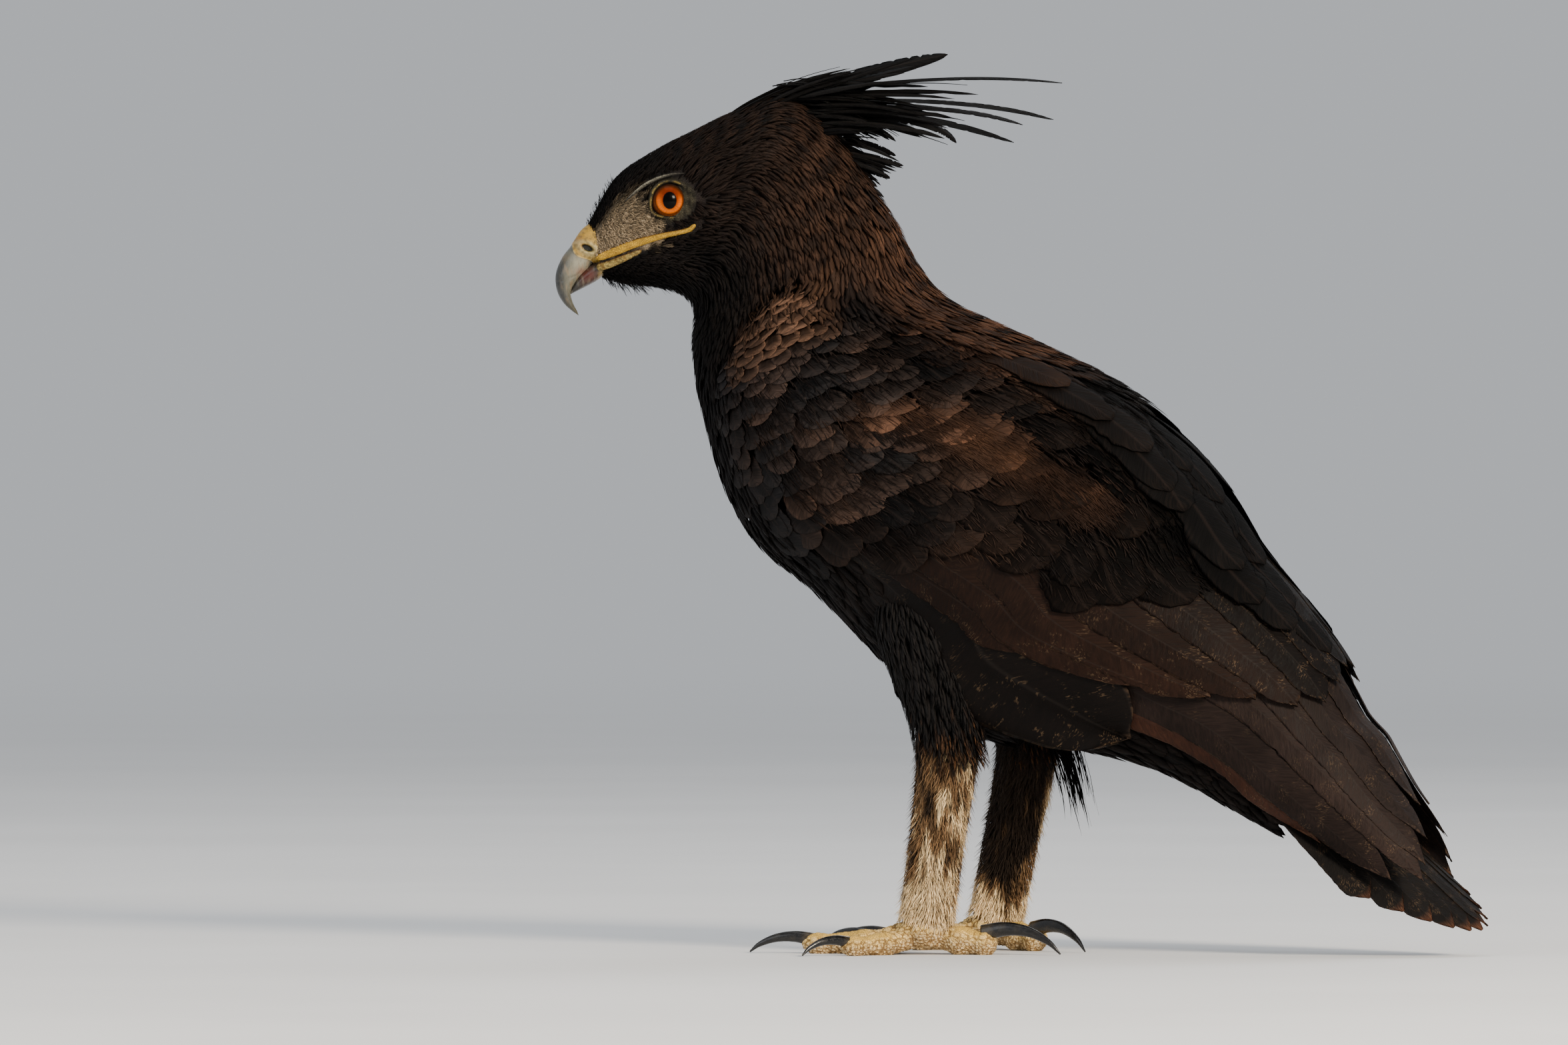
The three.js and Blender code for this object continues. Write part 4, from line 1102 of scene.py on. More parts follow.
t, angle = ringGrid(1.7, 7.08, 150, 96)
tip = np.sqrt(np.clip((7.1 - t) / 0.35, 0.02, 1))
points = billPoint("upper", t, angle)
middle = (billPoint("upper", t, 0.0) + billPoint("upper", t, 180.0)) / 2
points = middle + (points - middle) * tip[..., None]
cleft = points[..., 2] - np.interp(points[..., 1], *bill["cleft"])
groove = 0.3 * hill(cleft, 0, 0.7) * (t < 5)
points[..., 0] -= np.sign(points[..., 0]) * groove
upper = gridObject("upperBill", turnHead(points), hornShade(points, True))
t, angle = ringGrid(0, 3.08, 70, 72)
points = billPoint("lower", t, angle, 0.15)
lower = gridObject("lowerBill", turnHead(points), hornShade(points, False))
hornLook = {
    "roughness": 0.32, "gloss": 0.1, "grain": 700.0, "vary": 0.16, "bump": 0.00012,
    "stretch": (1.0, 1.0, 0.3),
    "sockets": {"Specular IOR Level": 0.35, "Coat Weight": 0.1, "Coat Roughness": 0.2},
}
hornMaterial = paintedMaterial("billHorn", hornLook)
for piece, node in ((upper, "bill_upper"), (lower, "bill_lower")):
    settle(piece, hornMaterial, [node])

claws = {
    "path": [(-0.2, 0.66), (0.12, 0.8), (0.45, 0.72), (0.74, 0.4), (0.92, 0)],  # shares of length and height
    "base": 0.115,  # half the height at the root over the length
    "tip": 0.35,  # mm
    "clear": 0.6,  # mm from the floor to the middle of the tip
}
clawLook = {
    "roughness": 0.24, "gloss": 0.12, "grain": 500.0, "vary": 0.35, "bump": 0.00015,
    "stretch": (1.0, 1.0, 2.0),
    "sockets": {"Specular IOR Level": 0.3, "Coat Weight": 0.3, "Coat Roughness": 0.08},
}
clawMaterial = paintedMaterial("clawHorn", clawLook)
for name in signOf:
    for toe, (_, reach, _, length, up) in foot["toes"].items():
        start, way = footMiddle(name, claws["clear"]), toeWay(name, toe)
        path = [start + way * (reach + share * length) + [0, 0, high * up] for share, high in claws["path"]]
        t, angle = ringGrid(0, 1, 60, 28)
        t = t**0.9
        tall = blend(claws["base"] * length, claws["tip"], t**1.3)
        keel = 1 + 0.1 * np.sin(np.radians(angle))  # narrower underneath
        points = tubePoint(path, t, angle, tall * 0.8 / keel, tall)
        points[..., 2] = np.maximum(points[..., 2], 0.1)
        streak = ease(wobble(points * np.array([1, 1, 2.5]), 7, 51), 0.1, 0.9)
        shade = tinted(((0.006, 0.0055, 0.0055), t), ((0.06, 0.05, 0.035), 0.2 * streak * (1 - t)),
                       ((0.06, 0.045, 0.025), 0.4 * fade(t, 0.08, 0.18)))
        claw = gridObject(f"claw_{name}_{toe}_horn", points, shade)
        settle(claw, clawMaterial, [f"claw_{name}_{toe}"])
print("eyes, bill and claws made")

def frameOn(surface, u, v, stepU, stepV=0.6):
    # the point, the unit ways of u and v, the outward normal, and how many millimetres one u and one v are
    wayU = (surface(u + stepU, v) - surface(u - stepU, v)) / (2 * stepU)
    wayV = (surface(u, v + stepV) - surface(u, v - stepV)) / (2 * stepV)
    sizeU, sizeV = [np.maximum(np.linalg.norm(way, axis=-1), 1e-3) for way in (wayU, wayV)]
    outward = unit(np.cross(wayV, wayU))
    return surface(u, v), wayU / sizeU[:, None], wayV / sizeV[:, None], outward, sizeU, sizeV


def scatter(surface, lowU, highU, lowV, highV, cellAt, stepU, most=600000):
    # roots spread evenly over a surface: an additive sequence fills the square of u and v, and each point
    # stays with a chance in proportion to the area there over the cell that one feather takes; then each is
    # moved by about a third of its cell
    ratio = 1.2207440846057596  # its fourth power is itself and 1
    places = lambda count: np.mod(0.5 + np.arange(count)[:, None] / ratio ** np.arange(1, 4), 1)

    def need(fractions):
        u, v = blend(lowU, highU, fractions[:, 0]), blend(lowV, highV, fractions[:, 1])
        _, _, _, _, sizeU, sizeV = frameOn(surface, u, v, stepU)
        return u, v, sizeU, sizeV, cellAt(u, v)

    _, _, sizeU, sizeV, cell = need(places(3000))
    densest = np.percentile(sizeU * sizeV / cell, 99.5)
    fractions = places(int(min(densest * (highU - lowU) * (highV - lowV), most)))
    u, v, sizeU, sizeV, cell = need(fractions)
    keep = fractions[:, 2] < sizeU * sizeV / cell / densest
    u, v, sizeU, sizeV, cell = [values[keep] for values in (u, v, sizeU, sizeV, cell)]
    moved = np.random.default_rng(len(u)).normal(0, 0.33, (2, len(u))) * np.sqrt(cell)
    return np.clip(u + moved[0] / sizeU, lowU, highU), v + moved[1] / np.maximum(sizeV, 0.05)


vaneDefaults = {
    "sides": (-1, 0, 1),  # a ring's points, as shares of half the width
    "top": 3,  # how many of them lie on the upper side
    "raise": 0.0,  # mm above the surface, all along
    "bend": 0.0,  # radians that the heading turns by
    "spacing": 0.85,  # power that crowds the rings towards the tip
    "least": 0.05,  # of the width, at root and tip
    "sink": 2.2,  # power of the way from the sunken root up to the surface
    "rising": 2.2,  # power of the tip's lift
    "shaft": 0.08,  # mm
    "roll": 0.08,  # height over half the width, either way
    "stepU": 0.03,
    "hug": False,  # broad feathers bend round the body
}


def vanes(surface, u, v, plan, seed):
    # feathers laid on a surface. The shaft is walked from the root in short steps along its heading, and at
    # each step a ring is set across it: the left edge, the shaft's raised line, the right edge and the
    # underside. Half the width is the share of the way to the power of rise, times the root of 1 less that
    # share to the power of tip, and it frays by a random share. The second value is where each feather shows.
    draws = np.random.default_rng(seed)
    plan = {**vaneDefaults, **plan}
    count, stations, ring, stepU = len(u), plan["stations"], len(plan["sides"]), plan["stepU"]
    each = lambda key: np.broadcast_to(np.asarray(plan[key], float), (count,))
    length, width, heading = each("length"), each("width"), np.radians(each("heading"))
    level = draws.uniform(-0.5, 0.5, count) * plan["jitter"] + each("raise")
    along = np.linspace(0, 1, stations) ** plan["spacing"]
    profile = along ** plan["rise"] * (1 - along ** plan["tip"]) ** 0.5
    profile = np.maximum(profile / profile.max(), plan["least"])
    points, sides = np.zeros((count, stations, ring, 3)), np.array(plan["sides"], float)
    fray = 1 + each("fray")[:, None, None] * draws.uniform(-1, 0.6, (count, stations, 2))
    fray[:, 0] = 1
    roll = draws.uniform(-1, 1, count) * plan["roll"]
    atU, atV, seen = u.copy(), v.copy(), None
    for k in range(stations):
        at, wayU, wayV, outward, sizeU, sizeV = frameOn(surface, atU, atV, stepU)
        course = heading + plan["bend"] * along[k]
        ahead = unit(wayU * np.cos(course)[:, None] + wayV * np.sin(course)[:, None])
        across = unit(np.cross(ahead, outward))
        high = -each("root") * (1 - along[k]) ** plan["sink"]
        high = high + each("lift") * along[k] ** plan["rising"] + level
        half = width / 2 * profile[k]
        for r, c in enumerate(sides):
            reachOut = c * half * (fray[:, k, int(c > 0)] if abs(c) == 1 else 1)
            up = -plan["camber"] * c**2 * half + roll * c * half
            if r >= plan["top"]:
                up = up - plan["thick"] * (0.35 + 0.65 * profile[k])
            elif c == 0:
                up = up + plan["shaft"] * (0.3 + 0.7 * profile[k])
            if plan["hug"]:
                sideU = atU - np.sin(course) * reachOut / sizeU
                sideV = atV + np.cos(course) * reachOut / sizeV
                edge, _, _, away, _, _ = frameOn(surface, sideU, sideV, stepU)
                points[:, k, r] = edge + away * (high + up)[:, None]
            else:
                points[:, k, r] = at + across * reachOut[:, None] + outward * (high + up)[:, None]
        if seen is None and along[k] > 0.7:
            seen = (atU, atV)
        if k + 1 < stations:
            stride = (along[k + 1] - along[k]) * length
            atU = atU + stride * np.cos(course) / sizeU
            atV = atV + stride * np.sin(course) / sizeV
    return (points, along, sides, length), seen


def coatPiece(name, parts, material, replaced=(), patch=0.003):
    # all the feathers of one tract. Each feather is a small patch of the map at its root's place on the
    # unwrapped skin, with u of the surface across the map and v up it.
    lows = {key: min(part[key].min() for part in parts) for key in "uv"}
    highs = {key: max(part[key].max() for part in parts) for key in "uv"}
    share = lambda part, key: 0.01 + 0.97 * (part[key] - lows[key]) / (highs[key] - lows[key])
    for k, part in enumerate(parts):
        _, along, sides, length = part["shape"]
        u, v = [share(part, key)[:, None, None] for key in "uv"]
        part["map"] = (u + patch * along[None, :, None], v + patch * (0.5 + 0.5 * sides))
        part["tint"] = np.random.default_rng(900 + k + len(name)).uniform(0, 1, len(length))
        if part["shade"].ndim == 2:
            part["shade"] = part["shade"][:, None, None]
    mergeFeathers(name, parts, material, replaced)


plumage = featherMaterial("plumage", coatLook)


def drawsOf(seed, count):
    # ways to draw one number a feather: evenly between two limits, and in a bell about 0
    draws = np.random.default_rng(seed)
    return lambda low, high: draws.uniform(low, high, count), lambda spread: draws.normal(0, spread, count)


def laid(surface, u, v, plan, seed, shadeOf=bodyShade):
    # feathers on a surface, each in the coat's colour where it shows
    shape, seen = vanes(surface, u, v, plan, seed)
    return {"u": u, "v": v, "shape": shape, "shade": shadeOf(*seen)}


headCoat = {
    "rows": [0, 1, 2, 3, 4, 5, 6, 7, 8, 9.35],
    "length": [2.8, 3.8, 6, 8.5, 10.5, 12.5, 14.5, 17, 19, 22],
    "share": [0.28, 0.24, 0.18, 0.15, 0.15, 0.16, 0.165, 0.165, 0.165, 0.165],  # width over length
    "cover": 0.155,  # the share of its own size that each feather shows
    "eyeClear": (9.3, 9.5),  # how near the eye's middle feathers grow, before it and behind it
    "lineClear": (2.4, 1.9, 1.1),  # and how near the upper lip, the lower one and the line of the brow
    "swirl": (10, 8, 32),  # how far from the eye feathers lie round it, the reach of that, and degrees
    # thin ones before the eye: up to which row, between which angles, length, width and turn off the course
    "lores": {"row": 1.9, "turn": (50, 118), "longest": 4.6, "width": 0.38, "swept": 50},
    "blade": {
        "tip": 2.0, "rise": 0.4, "stations": 5, "fray": 0.25, "jitter": 0.4, "camber": 0.1, "shaft": 0.06,
    },
}


def wingSpan(row):
    # the closed wing's first and last angle
    return [np.interp(row, wingRows[:, 0], wingRows[:, k]) for k in (1, 2)]


def overLine(line, y, z):
    # how far above a line of the head's side view
    line = np.array(line)
    return z - np.interp(y, line[:, 0], line[:, 1])


def headFeathers(lowRow, highRow, seed):
    # small feathers, kept off the eye, the lips and the brow's edge, and shorter the nearer they grow to them
    at = lambda key, row: np.interp(row, headCoat["rows"], headCoat[key])
    cellAt = lambda row, angle: at("length", row) ** 2 * at("share", row) * headCoat["cover"]
    u, v = scatter(outerSurface, lowRow, highRow, -180, 180, cellAt, 0.03)
    fromEye, straight = sideDistance(outerSurface(u, v), lids["middle"])
    x, y, z = straight.T
    middleY, middleZ = lids["middle"]
    face = (np.abs(x) > 8) & (u < 3.6)
    overLip = overLine(mouth["upper"], y, z) + 9 * (y > mouth["upper"][-1][0] + 1.5)
    fromLow = np.abs(overLine(mouth["lower"], y, z)) + 9 * (y > mouth["lower"][-1][0] + 1)
    fromBrow = np.abs(overLine(browRidge["path"], y, z)) + 9 * ((y > -112) | (y < -134))
    clearAt = blend(*headCoat["eyeClear"], ease(y - middleY, 1, 8))
    first, last = wingSpan(u)
    onWing = (u > 8.05) & (np.abs(v) > first + 3) & (np.abs(v) < last - 3)
    lip, low, brow = headCoat["lineClear"]
    closed = (fromEye < clearAt) | (np.abs(overLip) < lip) | (fromLow < low) | (fromBrow < brow)
    clear = ~(face & closed) & ~onWing
    u, v, fromEye, y, z, face, overLip = [values[clear] for values in (u, v, fromEye, y, z, face, overLip)]
    even, bell = drawsOf(seed, len(u))
    length = at("length", u) * even(0.75, 1.25)
    ahead = face & (y < middleY) & (np.abs(z - middleZ) < 12)
    length = np.where(ahead, np.minimum(length, np.maximum(fromEye - 9.2, 1.3)), length)
    turn = np.abs(v)
    thin = headCoat["lores"]
    lores = face & (u < thin["row"]) & (turn > thin["turn"][0]) & (turn < thin["turn"][1])
    length = np.where(lores, np.minimum(length * 1.25, thin["longest"]), length)
    below = face & (z < middleZ) & (overLip > 0) & (overLip < 8)
    length = np.where(below, np.minimum(length, np.maximum(overLip - 1.2, 1.3) * 1.3), length)
    distance, reach, most = headCoat["swirl"]
    around = np.sign(z - middleZ + 0.01) * hill(fromEye, distance, reach) * most * face
    heading = -np.sign(v) * around + bell(7) + 4 * wobble(np.stack([u, v / 20], -1), 1.2, 21)
    heading = heading + np.sign(v) * thin["swept"] * lores * fade(u, 0.4, 1.6) + bell(16) * lores
    throat = ease(turn, 120, 150) * fade(u, 5, 7)
    nape = within(u, 5.6, 6.6, 8.3, 9.3) * fade(turn, 40, 75)
    plan = {
        "length": length,
        "width": np.where(lores, thin["width"], length * at("share", u)) * even(0.75, 1.2),
        "heading": heading,
        "root": depthAt(u) + 0.5,
        "lift": even(-0.1, 0.22) + 0.35 * lores * even(0, 1) + throat * 1.0 + nape * even(0, 0.7),
        "bend": bell(0.15),
        **headCoat["blade"],
    }
    part = laid(outerSurface, u, v, plan, seed + 2)
    streaky = even(0.35, 1.6) * lores + (1 - lores)
    part["shade"] = part["shade"] * streaky[:, None]
    return [part]


for piece, low, high, seed in (("face", -0.14, 2.0, 31), ("head", 2.0, 4.4, 35), ("nape", 4.4, 6.8, 41),
                               ("neck", 6.8, 9.35, 45)):
    coatPiece(piece + "Feathers", headFeathers(low, high, seed), plumage)

bodyCoat = {
    "rows": [9, 10, 12, 14, 17, 19, 21],
    "length": [22, 23, 25, 27, 28, 27, 24],
    "share": 0.24,
    "cover": 0.14,
    "blade": {
        "tip": 2.6, "rise": 0.5, "stations": 7, "jitter": 0.5, "camber": 0.14, "stepU": 0.04, "spacing": 0.75,
    },
}
scapular = {
    # the angle of the lower edge by rows, where the long feathers of the back end over the wing
    "edgeRows": [8.7, 9.3, 10, 10.7, 12, 14, 15.2, 16.5, 18.8],
    "edge": [64, 52, 42, 39, 40, 38, 38, 36, 34],
    "rows": np.arange(9.2, 17.0, 0.78),
    "across": (0.12, 0.44, 0.8),  # shares of the way to the edge
    "length": (42, 66),  # in front and behind, as the width
    "width": (17, 24),
}


def scapularEdge(row):
    return np.interp(row, scapular["edgeRows"], scapular["edge"])


def mantleEdge(row):
    return scapularEdge(row) * blend(0.95, 0.3, ease(row, 9.6, 13.2)) + 3


def bodyFeathers(surface, lowRow, highRow, keepAt, seed, share=bodyCoat["share"], deep=depthAt,
                 shadeOf=bodyShade, lift=0.0):
    # plain feathers scattered over some rows of the trunk, wherever keepAt holds
    lengthAt = lambda row: np.interp(row, bodyCoat["rows"], bodyCoat["length"])
    cellAt = lambda row, angle: lengthAt(row) ** 2 * share * bodyCoat["cover"]
    u, v = scatter(surface, lowRow, highRow, -180, 180, cellAt, 0.04)
    keep = keepAt(u, np.abs(v))
    u, v = u[keep], v[keep]
    even, bell = drawsOf(seed, len(u))
    length = lengthAt(u) * even(0.75, 1.2)
    plan = {
        "length": length,
        "width": length * share * even(0.75, 1.2),
        "heading": bell(7),
        "root": deep(u) * even(0.9, 1.1),
        "lift": even(-0.2, 0.4),
        "raise": lift,
        "fray": even(0.05, 0.3),
        **bodyCoat["blade"],
    }
    return [laid(surface, u, v, plan, seed + 2, shadeOf)]


def ventShade(row, angle):
    return tinted((black, row), (dusk, 0.5 + 0.5 * wobble(np.stack([row * 3, angle / 9], -1), 2, 5)))


onBreast, onMantle = lambda row, turn: turn > wingSpan(row)[1] - 4, lambda row, turn: turn < mantleEdge(row)
coatPiece("breastFeathers", bodyFeathers(outerSurface, 8.9, 17.3, onBreast, 51), plumage)
coatPiece("mantleFeathers", bodyFeathers(outerSurface, 7.9, 13.2, onMantle, 55, 0.13, lift=0.9), plumage)
vent = bodyFeathers(trunkSurface, 13.6, 20.2, lambda row, turn: turn > 84, 61, deep=lambda row: 5.5 + 0 * row,
                    shadeOf=ventShade)
coatPiece("ventFeathers", vent, plumage)

coverts = {
    # row of the roots, feather's length, spacing across
    "rows": [
        (7.95, 9, 5.4), (8.17, 9.5, 5.6), (8.4, 10, 5.8), (8.63, 10, 6), (8.86, 10.5, 6.2), (9.1, 11, 6.4),
        (9.35, 12, 6.8), (9.65, 13, 7.5), (9.95, 14.5, 8.2), (10.3, 16, 9), (10.65, 17, 9.5), (11.0, 18, 10),
        (11.4, 20, 10.5), (11.8, 21, 11), (12.2, 23, 11.5), (12.65, 25, 12), (13.1, 27, 12.5),
        (13.6, 31, 13.5), (14.2, 36, 15), (14.85, 42, 17), (15.5, 46, 19),
    ],
    "widthShare": 1.7,  # a feather's width over the spacing
    "vary": ((0.78, 1.18), (0.78, 1.25)),  # shares that length and width vary by
    "stray": (0.12, 0.22),  # how far roots stray, in rows, and in shares of the spacing
    "rowLength": 27,  # mm along the wing from one row to the next
    "vane": {
        "sides": (-1, -0.8, -0.5, -0.2, 0, 0.2, 0.5, 0.8, 1, 0.4, -0.4), "top": 9, "hug": True, "tip": 4,
        "rise": 0.5, "stations": 14, "jitter": 0.12, "camber": 0.01, "thick": 0.12, "shaft": 0.05,
        "stepU": 0.04, "spacing": 0.7, "roll": 0.012,
    },
}


def longFeathers(u, v, plan, seed, rimmed=0.0):
    # broad smooth feathers, eleven points round each ring; the rimmed ones are dark in the middle
    _, bell = drawsOf(seed, len(u))
    part = laid(outerSurface, u, v, {**coverts["vane"], "bend": bell(0.06), **plan}, seed + 2)
    _, along, sides, _ = part["shape"]
    outer = ease(np.maximum(np.abs(sides)[None, :], (along[:, None] - 0.25) / 0.72), 0.45, 0.9)
    rimmed = np.broadcast_to(rimmed, u.shape)[:, None, None]
    light = blend(0.3, 1.4, outer)[None] * rimmed + (1 - rimmed) * blend(0.92, 1.1, outer)[None]
    shade = part["shade"] * np.broadcast_to(plan["tone"], u.shape)[:, None]
    part["shade"] = shade[:, None, None, :] * light[..., None]
    return [part]


def covertsEnd(turn):
    # the row beyond which no covert reaches
    return np.interp(turn, [44, 61.5, 69, 81.5, 88, 92, 121], [17.5, 17.2, 17.0, 16.8, 16.0, 15.6, 14.4])


def covertFeathers(sign, seed):
    # rows of feathers across the wing, each row half a step off the last, and every root strayed a little
    draws = np.random.default_rng(seed)
    kept, (longer, wider), (alongRow, aside) = [], coverts["vary"], coverts["stray"]
    for k, (row, length, spacing) in enumerate(coverts["rows"]):
        first, last = wingSpan(row)
        first = max(first, scapularEdge(row) - 9)
        sizeV = frameOn(outerSurface, np.array([row]), np.array([(first + last) / 2]), 0.04)[5][0]
        count = max(int((last - first + 6) * sizeV / spacing), 3)
        angles = np.linspace(first - 2, last + 1, count) + (k % 2 - 0.5) * (last - first) / count * 0.9
        long = length * draws.uniform(*longer, count)
        roots = row + draws.normal(0, alongRow, count) * min(1, length / 16)
        keep = roots + long / coverts["rowLength"] < covertsEnd(angles) + draws.uniform(0, 0.2, count)
        angles = sign * (angles + draws.normal(0, aside * spacing / sizeV, count))
        wide = spacing * coverts["widthShare"] * draws.uniform(*wider, count)
        kept.append(np.stack([roots, angles, long, wide])[:, keep])
    u, v, length, width = np.concatenate(kept, 1)
    turn, edge = np.abs(v), scapularEdge(u)
    fluffy = bandOn(u + 0.8, turn)
    wrist = fade(u, 9.3, 9.7) * hill(turn, 92, 32)
    tone = blend(1.75, 0.74, ease(u, 12.4, 13.4))
    tone = tone * blend(1, 0.38, ease(u, 13.2, 14.4) * fade(turn, 84, 96))
    tone = tone * (1 - 0.65 * hill(turn, edge + 8, 14) * ease(u, 9.3, 10))
    even, bell = drawsOf(draws, len(u))
    plan = {
        "length": length,
        "width": width,
        "heading": bell(7),
        "root": blend(2.6, 3.6, ease(u, 9, 12)),
        "lift": even(-0.05, 0.1) + 0.25 * fluffy,
        "raise": -0.5 * hill(turn, edge, 9),
        "fray": even(0.04, 0.22) + 0.25 * fluffy,
        "tone": tone * blend(1, 0.75, fluffy),
    }
    return longFeathers(u, v, plan, seed, np.maximum(wrist, 0.4))


def scapularFeathers(sign, seed):
    # three files along the back, overlapping like slates, the outermost one standing a little off the wing
    draws = np.random.default_rng(seed)
    row, share = np.meshgrid(scapular["rows"], scapular["across"], indexing="ij")
    row = row + np.array([0, 0.39, 0.05]) + draws.normal(0, 0.06, row.shape)
    share = share + draws.normal(0, 0.03, row.shape)
    keep = share * scapularEdge(row) > mantleEdge(row) - 7
    u, share = row[keep], share[keep]
    along, free = ease(u, 9.2, 12.5), share > 0.75
    even, bell = drawsOf(draws, len(u))
    plan = {
        "length": blend(*scapular["length"], along) * even(0.9, 1.1),
        "width": blend(*scapular["width"], along) * even(0.9, 1.1),
        "heading": sign * bell(2.5),
        "root": 4.5,
        "lift": even(0, 0.1) + 1.1 * free,
        "raise": 0.2 + 1.3 * free,
        "jitter": 0.05,
        "fray": 0.04 + 0.12 * free,
        "tone": 0.48,
    }
    return longFeathers(u, sign * share * scapularEdge(u + 0.9), plan, seed)


def looseBarbs(sign, seed):
    # barbs that stray over the edges of the wing's feathers, thick on the band across the wing
    cellAt = lambda row, angle: blend(6.5, 1.0, ease(bandOn(row, angle), 0.3, 0.6))
    u, v = scatter(outerSurface, 9.7, 17.6, 6, 124, cellAt, 0.04)
    keep = (v < wingSpan(u)[1]) & (u + 0.2 < covertsEnd(v)) & (v > mantleEdge(u))
    u, v = u[keep], v[keep]
    fluffy = ease(bandOn(u, v), 0.3, 0.6)
    even, bell = drawsOf(seed, len(u))
    plan = {
        "length": blend(even(4, 9), even(7, 15), fluffy), "width": even(0.4, 0.9), "heading": bell(9),
        "root": 0.3, "lift": even(0.0, 0.3), "tip": 2.0, "rise": 0.3, "stations": 4, "fray": 0.3,
        "jitter": 0.5, "camber": 0.2, "bend": bell(0.2),
    }
    part = laid(outerSurface, u, sign * v, plan, seed + 1)
    gain = blend(np.where(v < scapularEdge(u), 0.6, 1.2), 1.1, fluffy)
    return [{**part, "v": v, "shade": part["shade"] * gain[:, None]}]


for name, sign in signOf.items():
    shift = 0 if sign > 0 else 10
    coatPiece(f"covertFeathers_{name}", covertFeathers(sign, 71 + shift), plumage)
    coatPiece(f"scapularFeathers_{name}", scapularFeathers(sign, 75 + shift), plumage)
    coatPiece(f"looseBarbs_{name}", looseBarbs(sign, 78 + shift), plumage)

blade = {"tip": 2.0, "camber": 0.15, "stepU": 0.01}
legCoat = {
    # length at the top and the bottom, width over length, share that shows, and the blades
    "thigh": ((16, 11), 0.12, 0.16, {**blade, "rise": 0.45, "stations": 5, "fray": 0.3, "jitter": 0.8}),
    "shank": (
        (8.5, 6), 0.075, 0.175,
        {**blade, "rise": 0.4, "stations": 4, "fray": 0.2, "jitter": 0.3, "spacing": 1.0},
    ),
}


def legFeathers(name, seed):
    # loose feathers over the thigh, and short hair-like ones down the shank
    draws = np.random.default_rng(seed)
    lengths, share, cover, blade = legCoat["thigh"]
    surface = thighSurface(name)
    cellAt = lambda t, angle: lengths[0] ** 2 * share * cover + 0 * t
    u, v = scatter(surface, 0.03, 0.95, 0, 360, cellAt, 0.02)
    even, bell = drawsOf(draws, len(u))
    length = np.interp(u, [0.2, 1], lengths) * even(0.7, 1.2)
    length = length * blend(1, 0.6, ease(u, 0.7, 0.9))
    plan = {
        "length": length, "width": length * share * even(0.7, 1.2), "heading": bell(7), "root": 4.5,
        "lift": even(-0.5, 0.25), **blade,
    }
    shape, _ = vanes(surface, u, v, plan, seed + 1)
    brownish = ease(u + bell(0.08), 0.72, 0.95) * even(0, 1)
    shade = tinted((black, u), (dusk, even(0, 0.8)), (dun, 0.7 * brownish))
    thigh = {"u": u, "v": v, "shape": shape, "shade": shade}

    lengths, share, cover, blade = legCoat["shank"]
    surface = shankSurface(name)
    u, v = scatter(surface, -0.1, 0.93, 0, 360, cellAt, 0.02)
    even, bell = drawsOf(draws, len(u))
    length = np.interp(u, [0, 0.9], lengths) * even(0.7, 1.25)
    wild = np.clip(even(-5, 3), 0, 3)
    plan = {
        "length": length, "width": length * share * even(0.7, 1.2),
        "heading": bell(10) + 9 * wobble(np.stack([u * 4, v / 40], -1), 1.5, 6), "root": 2.6,
        "lift": even(-0.1, 0.4) + wild, **blade,
    }
    part = laid(surface, u, v, plan, seed + 2, lambda t, angle: shankShade(t, angle, signOf[name]))
    return [thigh, {**part, "u": u + 1, "shade": part["shade"] * even(0.84, 1.14)[:, None]}]


shankLook = dict(coatLook, fringe=0.2, fringeGain=(1.1, 1.1, 1.1), vary=0.12, streak=0.16, rootDark=0.95,
                 shaftShow=0.0, sockets={"Specular IOR Level": 0.1})
legPlumage = featherMaterial("legPlumage", shankLook)
for name, seed in (("left", 101), ("right", 111)):
    coatPiece(f"legFeathers_{name}", legFeathers(name, seed), legPlumage)
print("body feathers made")

flight = {
    # angle at the root, halfway and at the tip, rows of root and tip, half the width in degrees, where the
    # rounding of the tip starts, how much deeper the feather lies and how far its free side hangs out; from
    # the back down
    "secondaries": [
        (6, 8, 8, 16.2, 19.2, 11, 0.9, 0, 0), (21, 24, 24, 16.2, 19.35, 11, 0.9, 0, 0),
        (37, 40, 41, 16.2, 19.5, 11, 0.9, 0, 0), (56, 57, 57, 15.8, 19.4, 11, 0.9, 0, 0),
        (76, 73, 71, 15.2, 19.05, 11, 0.88, 0, 0), (97, 89, 83, 14.4, 18.7, 10.5, 0.88, 0, 0),
        (112, 101, 91, 13.7, 18.1, 9.5, 0.85, 0, 0), (121, 113, 101, 13.2, 17.2, 9, 0.8, 0.2, 0),
        (119, 112, 124.5, 14.2, 18.55, 29, 0.62, 0.9, 9), (130, 126, 128, 13.2, 16.9, 11, 0.7, 1.2, 2),
    ],
    "primaries": [
        (26, 21, 15, 17.6, 21.4, 13, 0.8, 0, 0), (44, 42, 37, 17.6, 22.0, 13, 0.85, 0, 0),
        (61, 58, 56, 17.6, 22.4, 13, 0.88, 0, 0), (78, 72, 70, 17.6, 22.65, 15, 0.88, 0, 0),
        (96, 101, 100, 17.6, 22.3, 18, 0.86, 0, 0), (104, 115, 122, 17.4, 21.3, 12, 0.75, 0.5, 0),
    ],
}
vaneSides = np.concatenate([np.linspace(-1, 1, 17), np.linspace(0.8, -0.8, 5)])
vaneBelow = np.arange(len(vaneSides))[None, :] >= 17


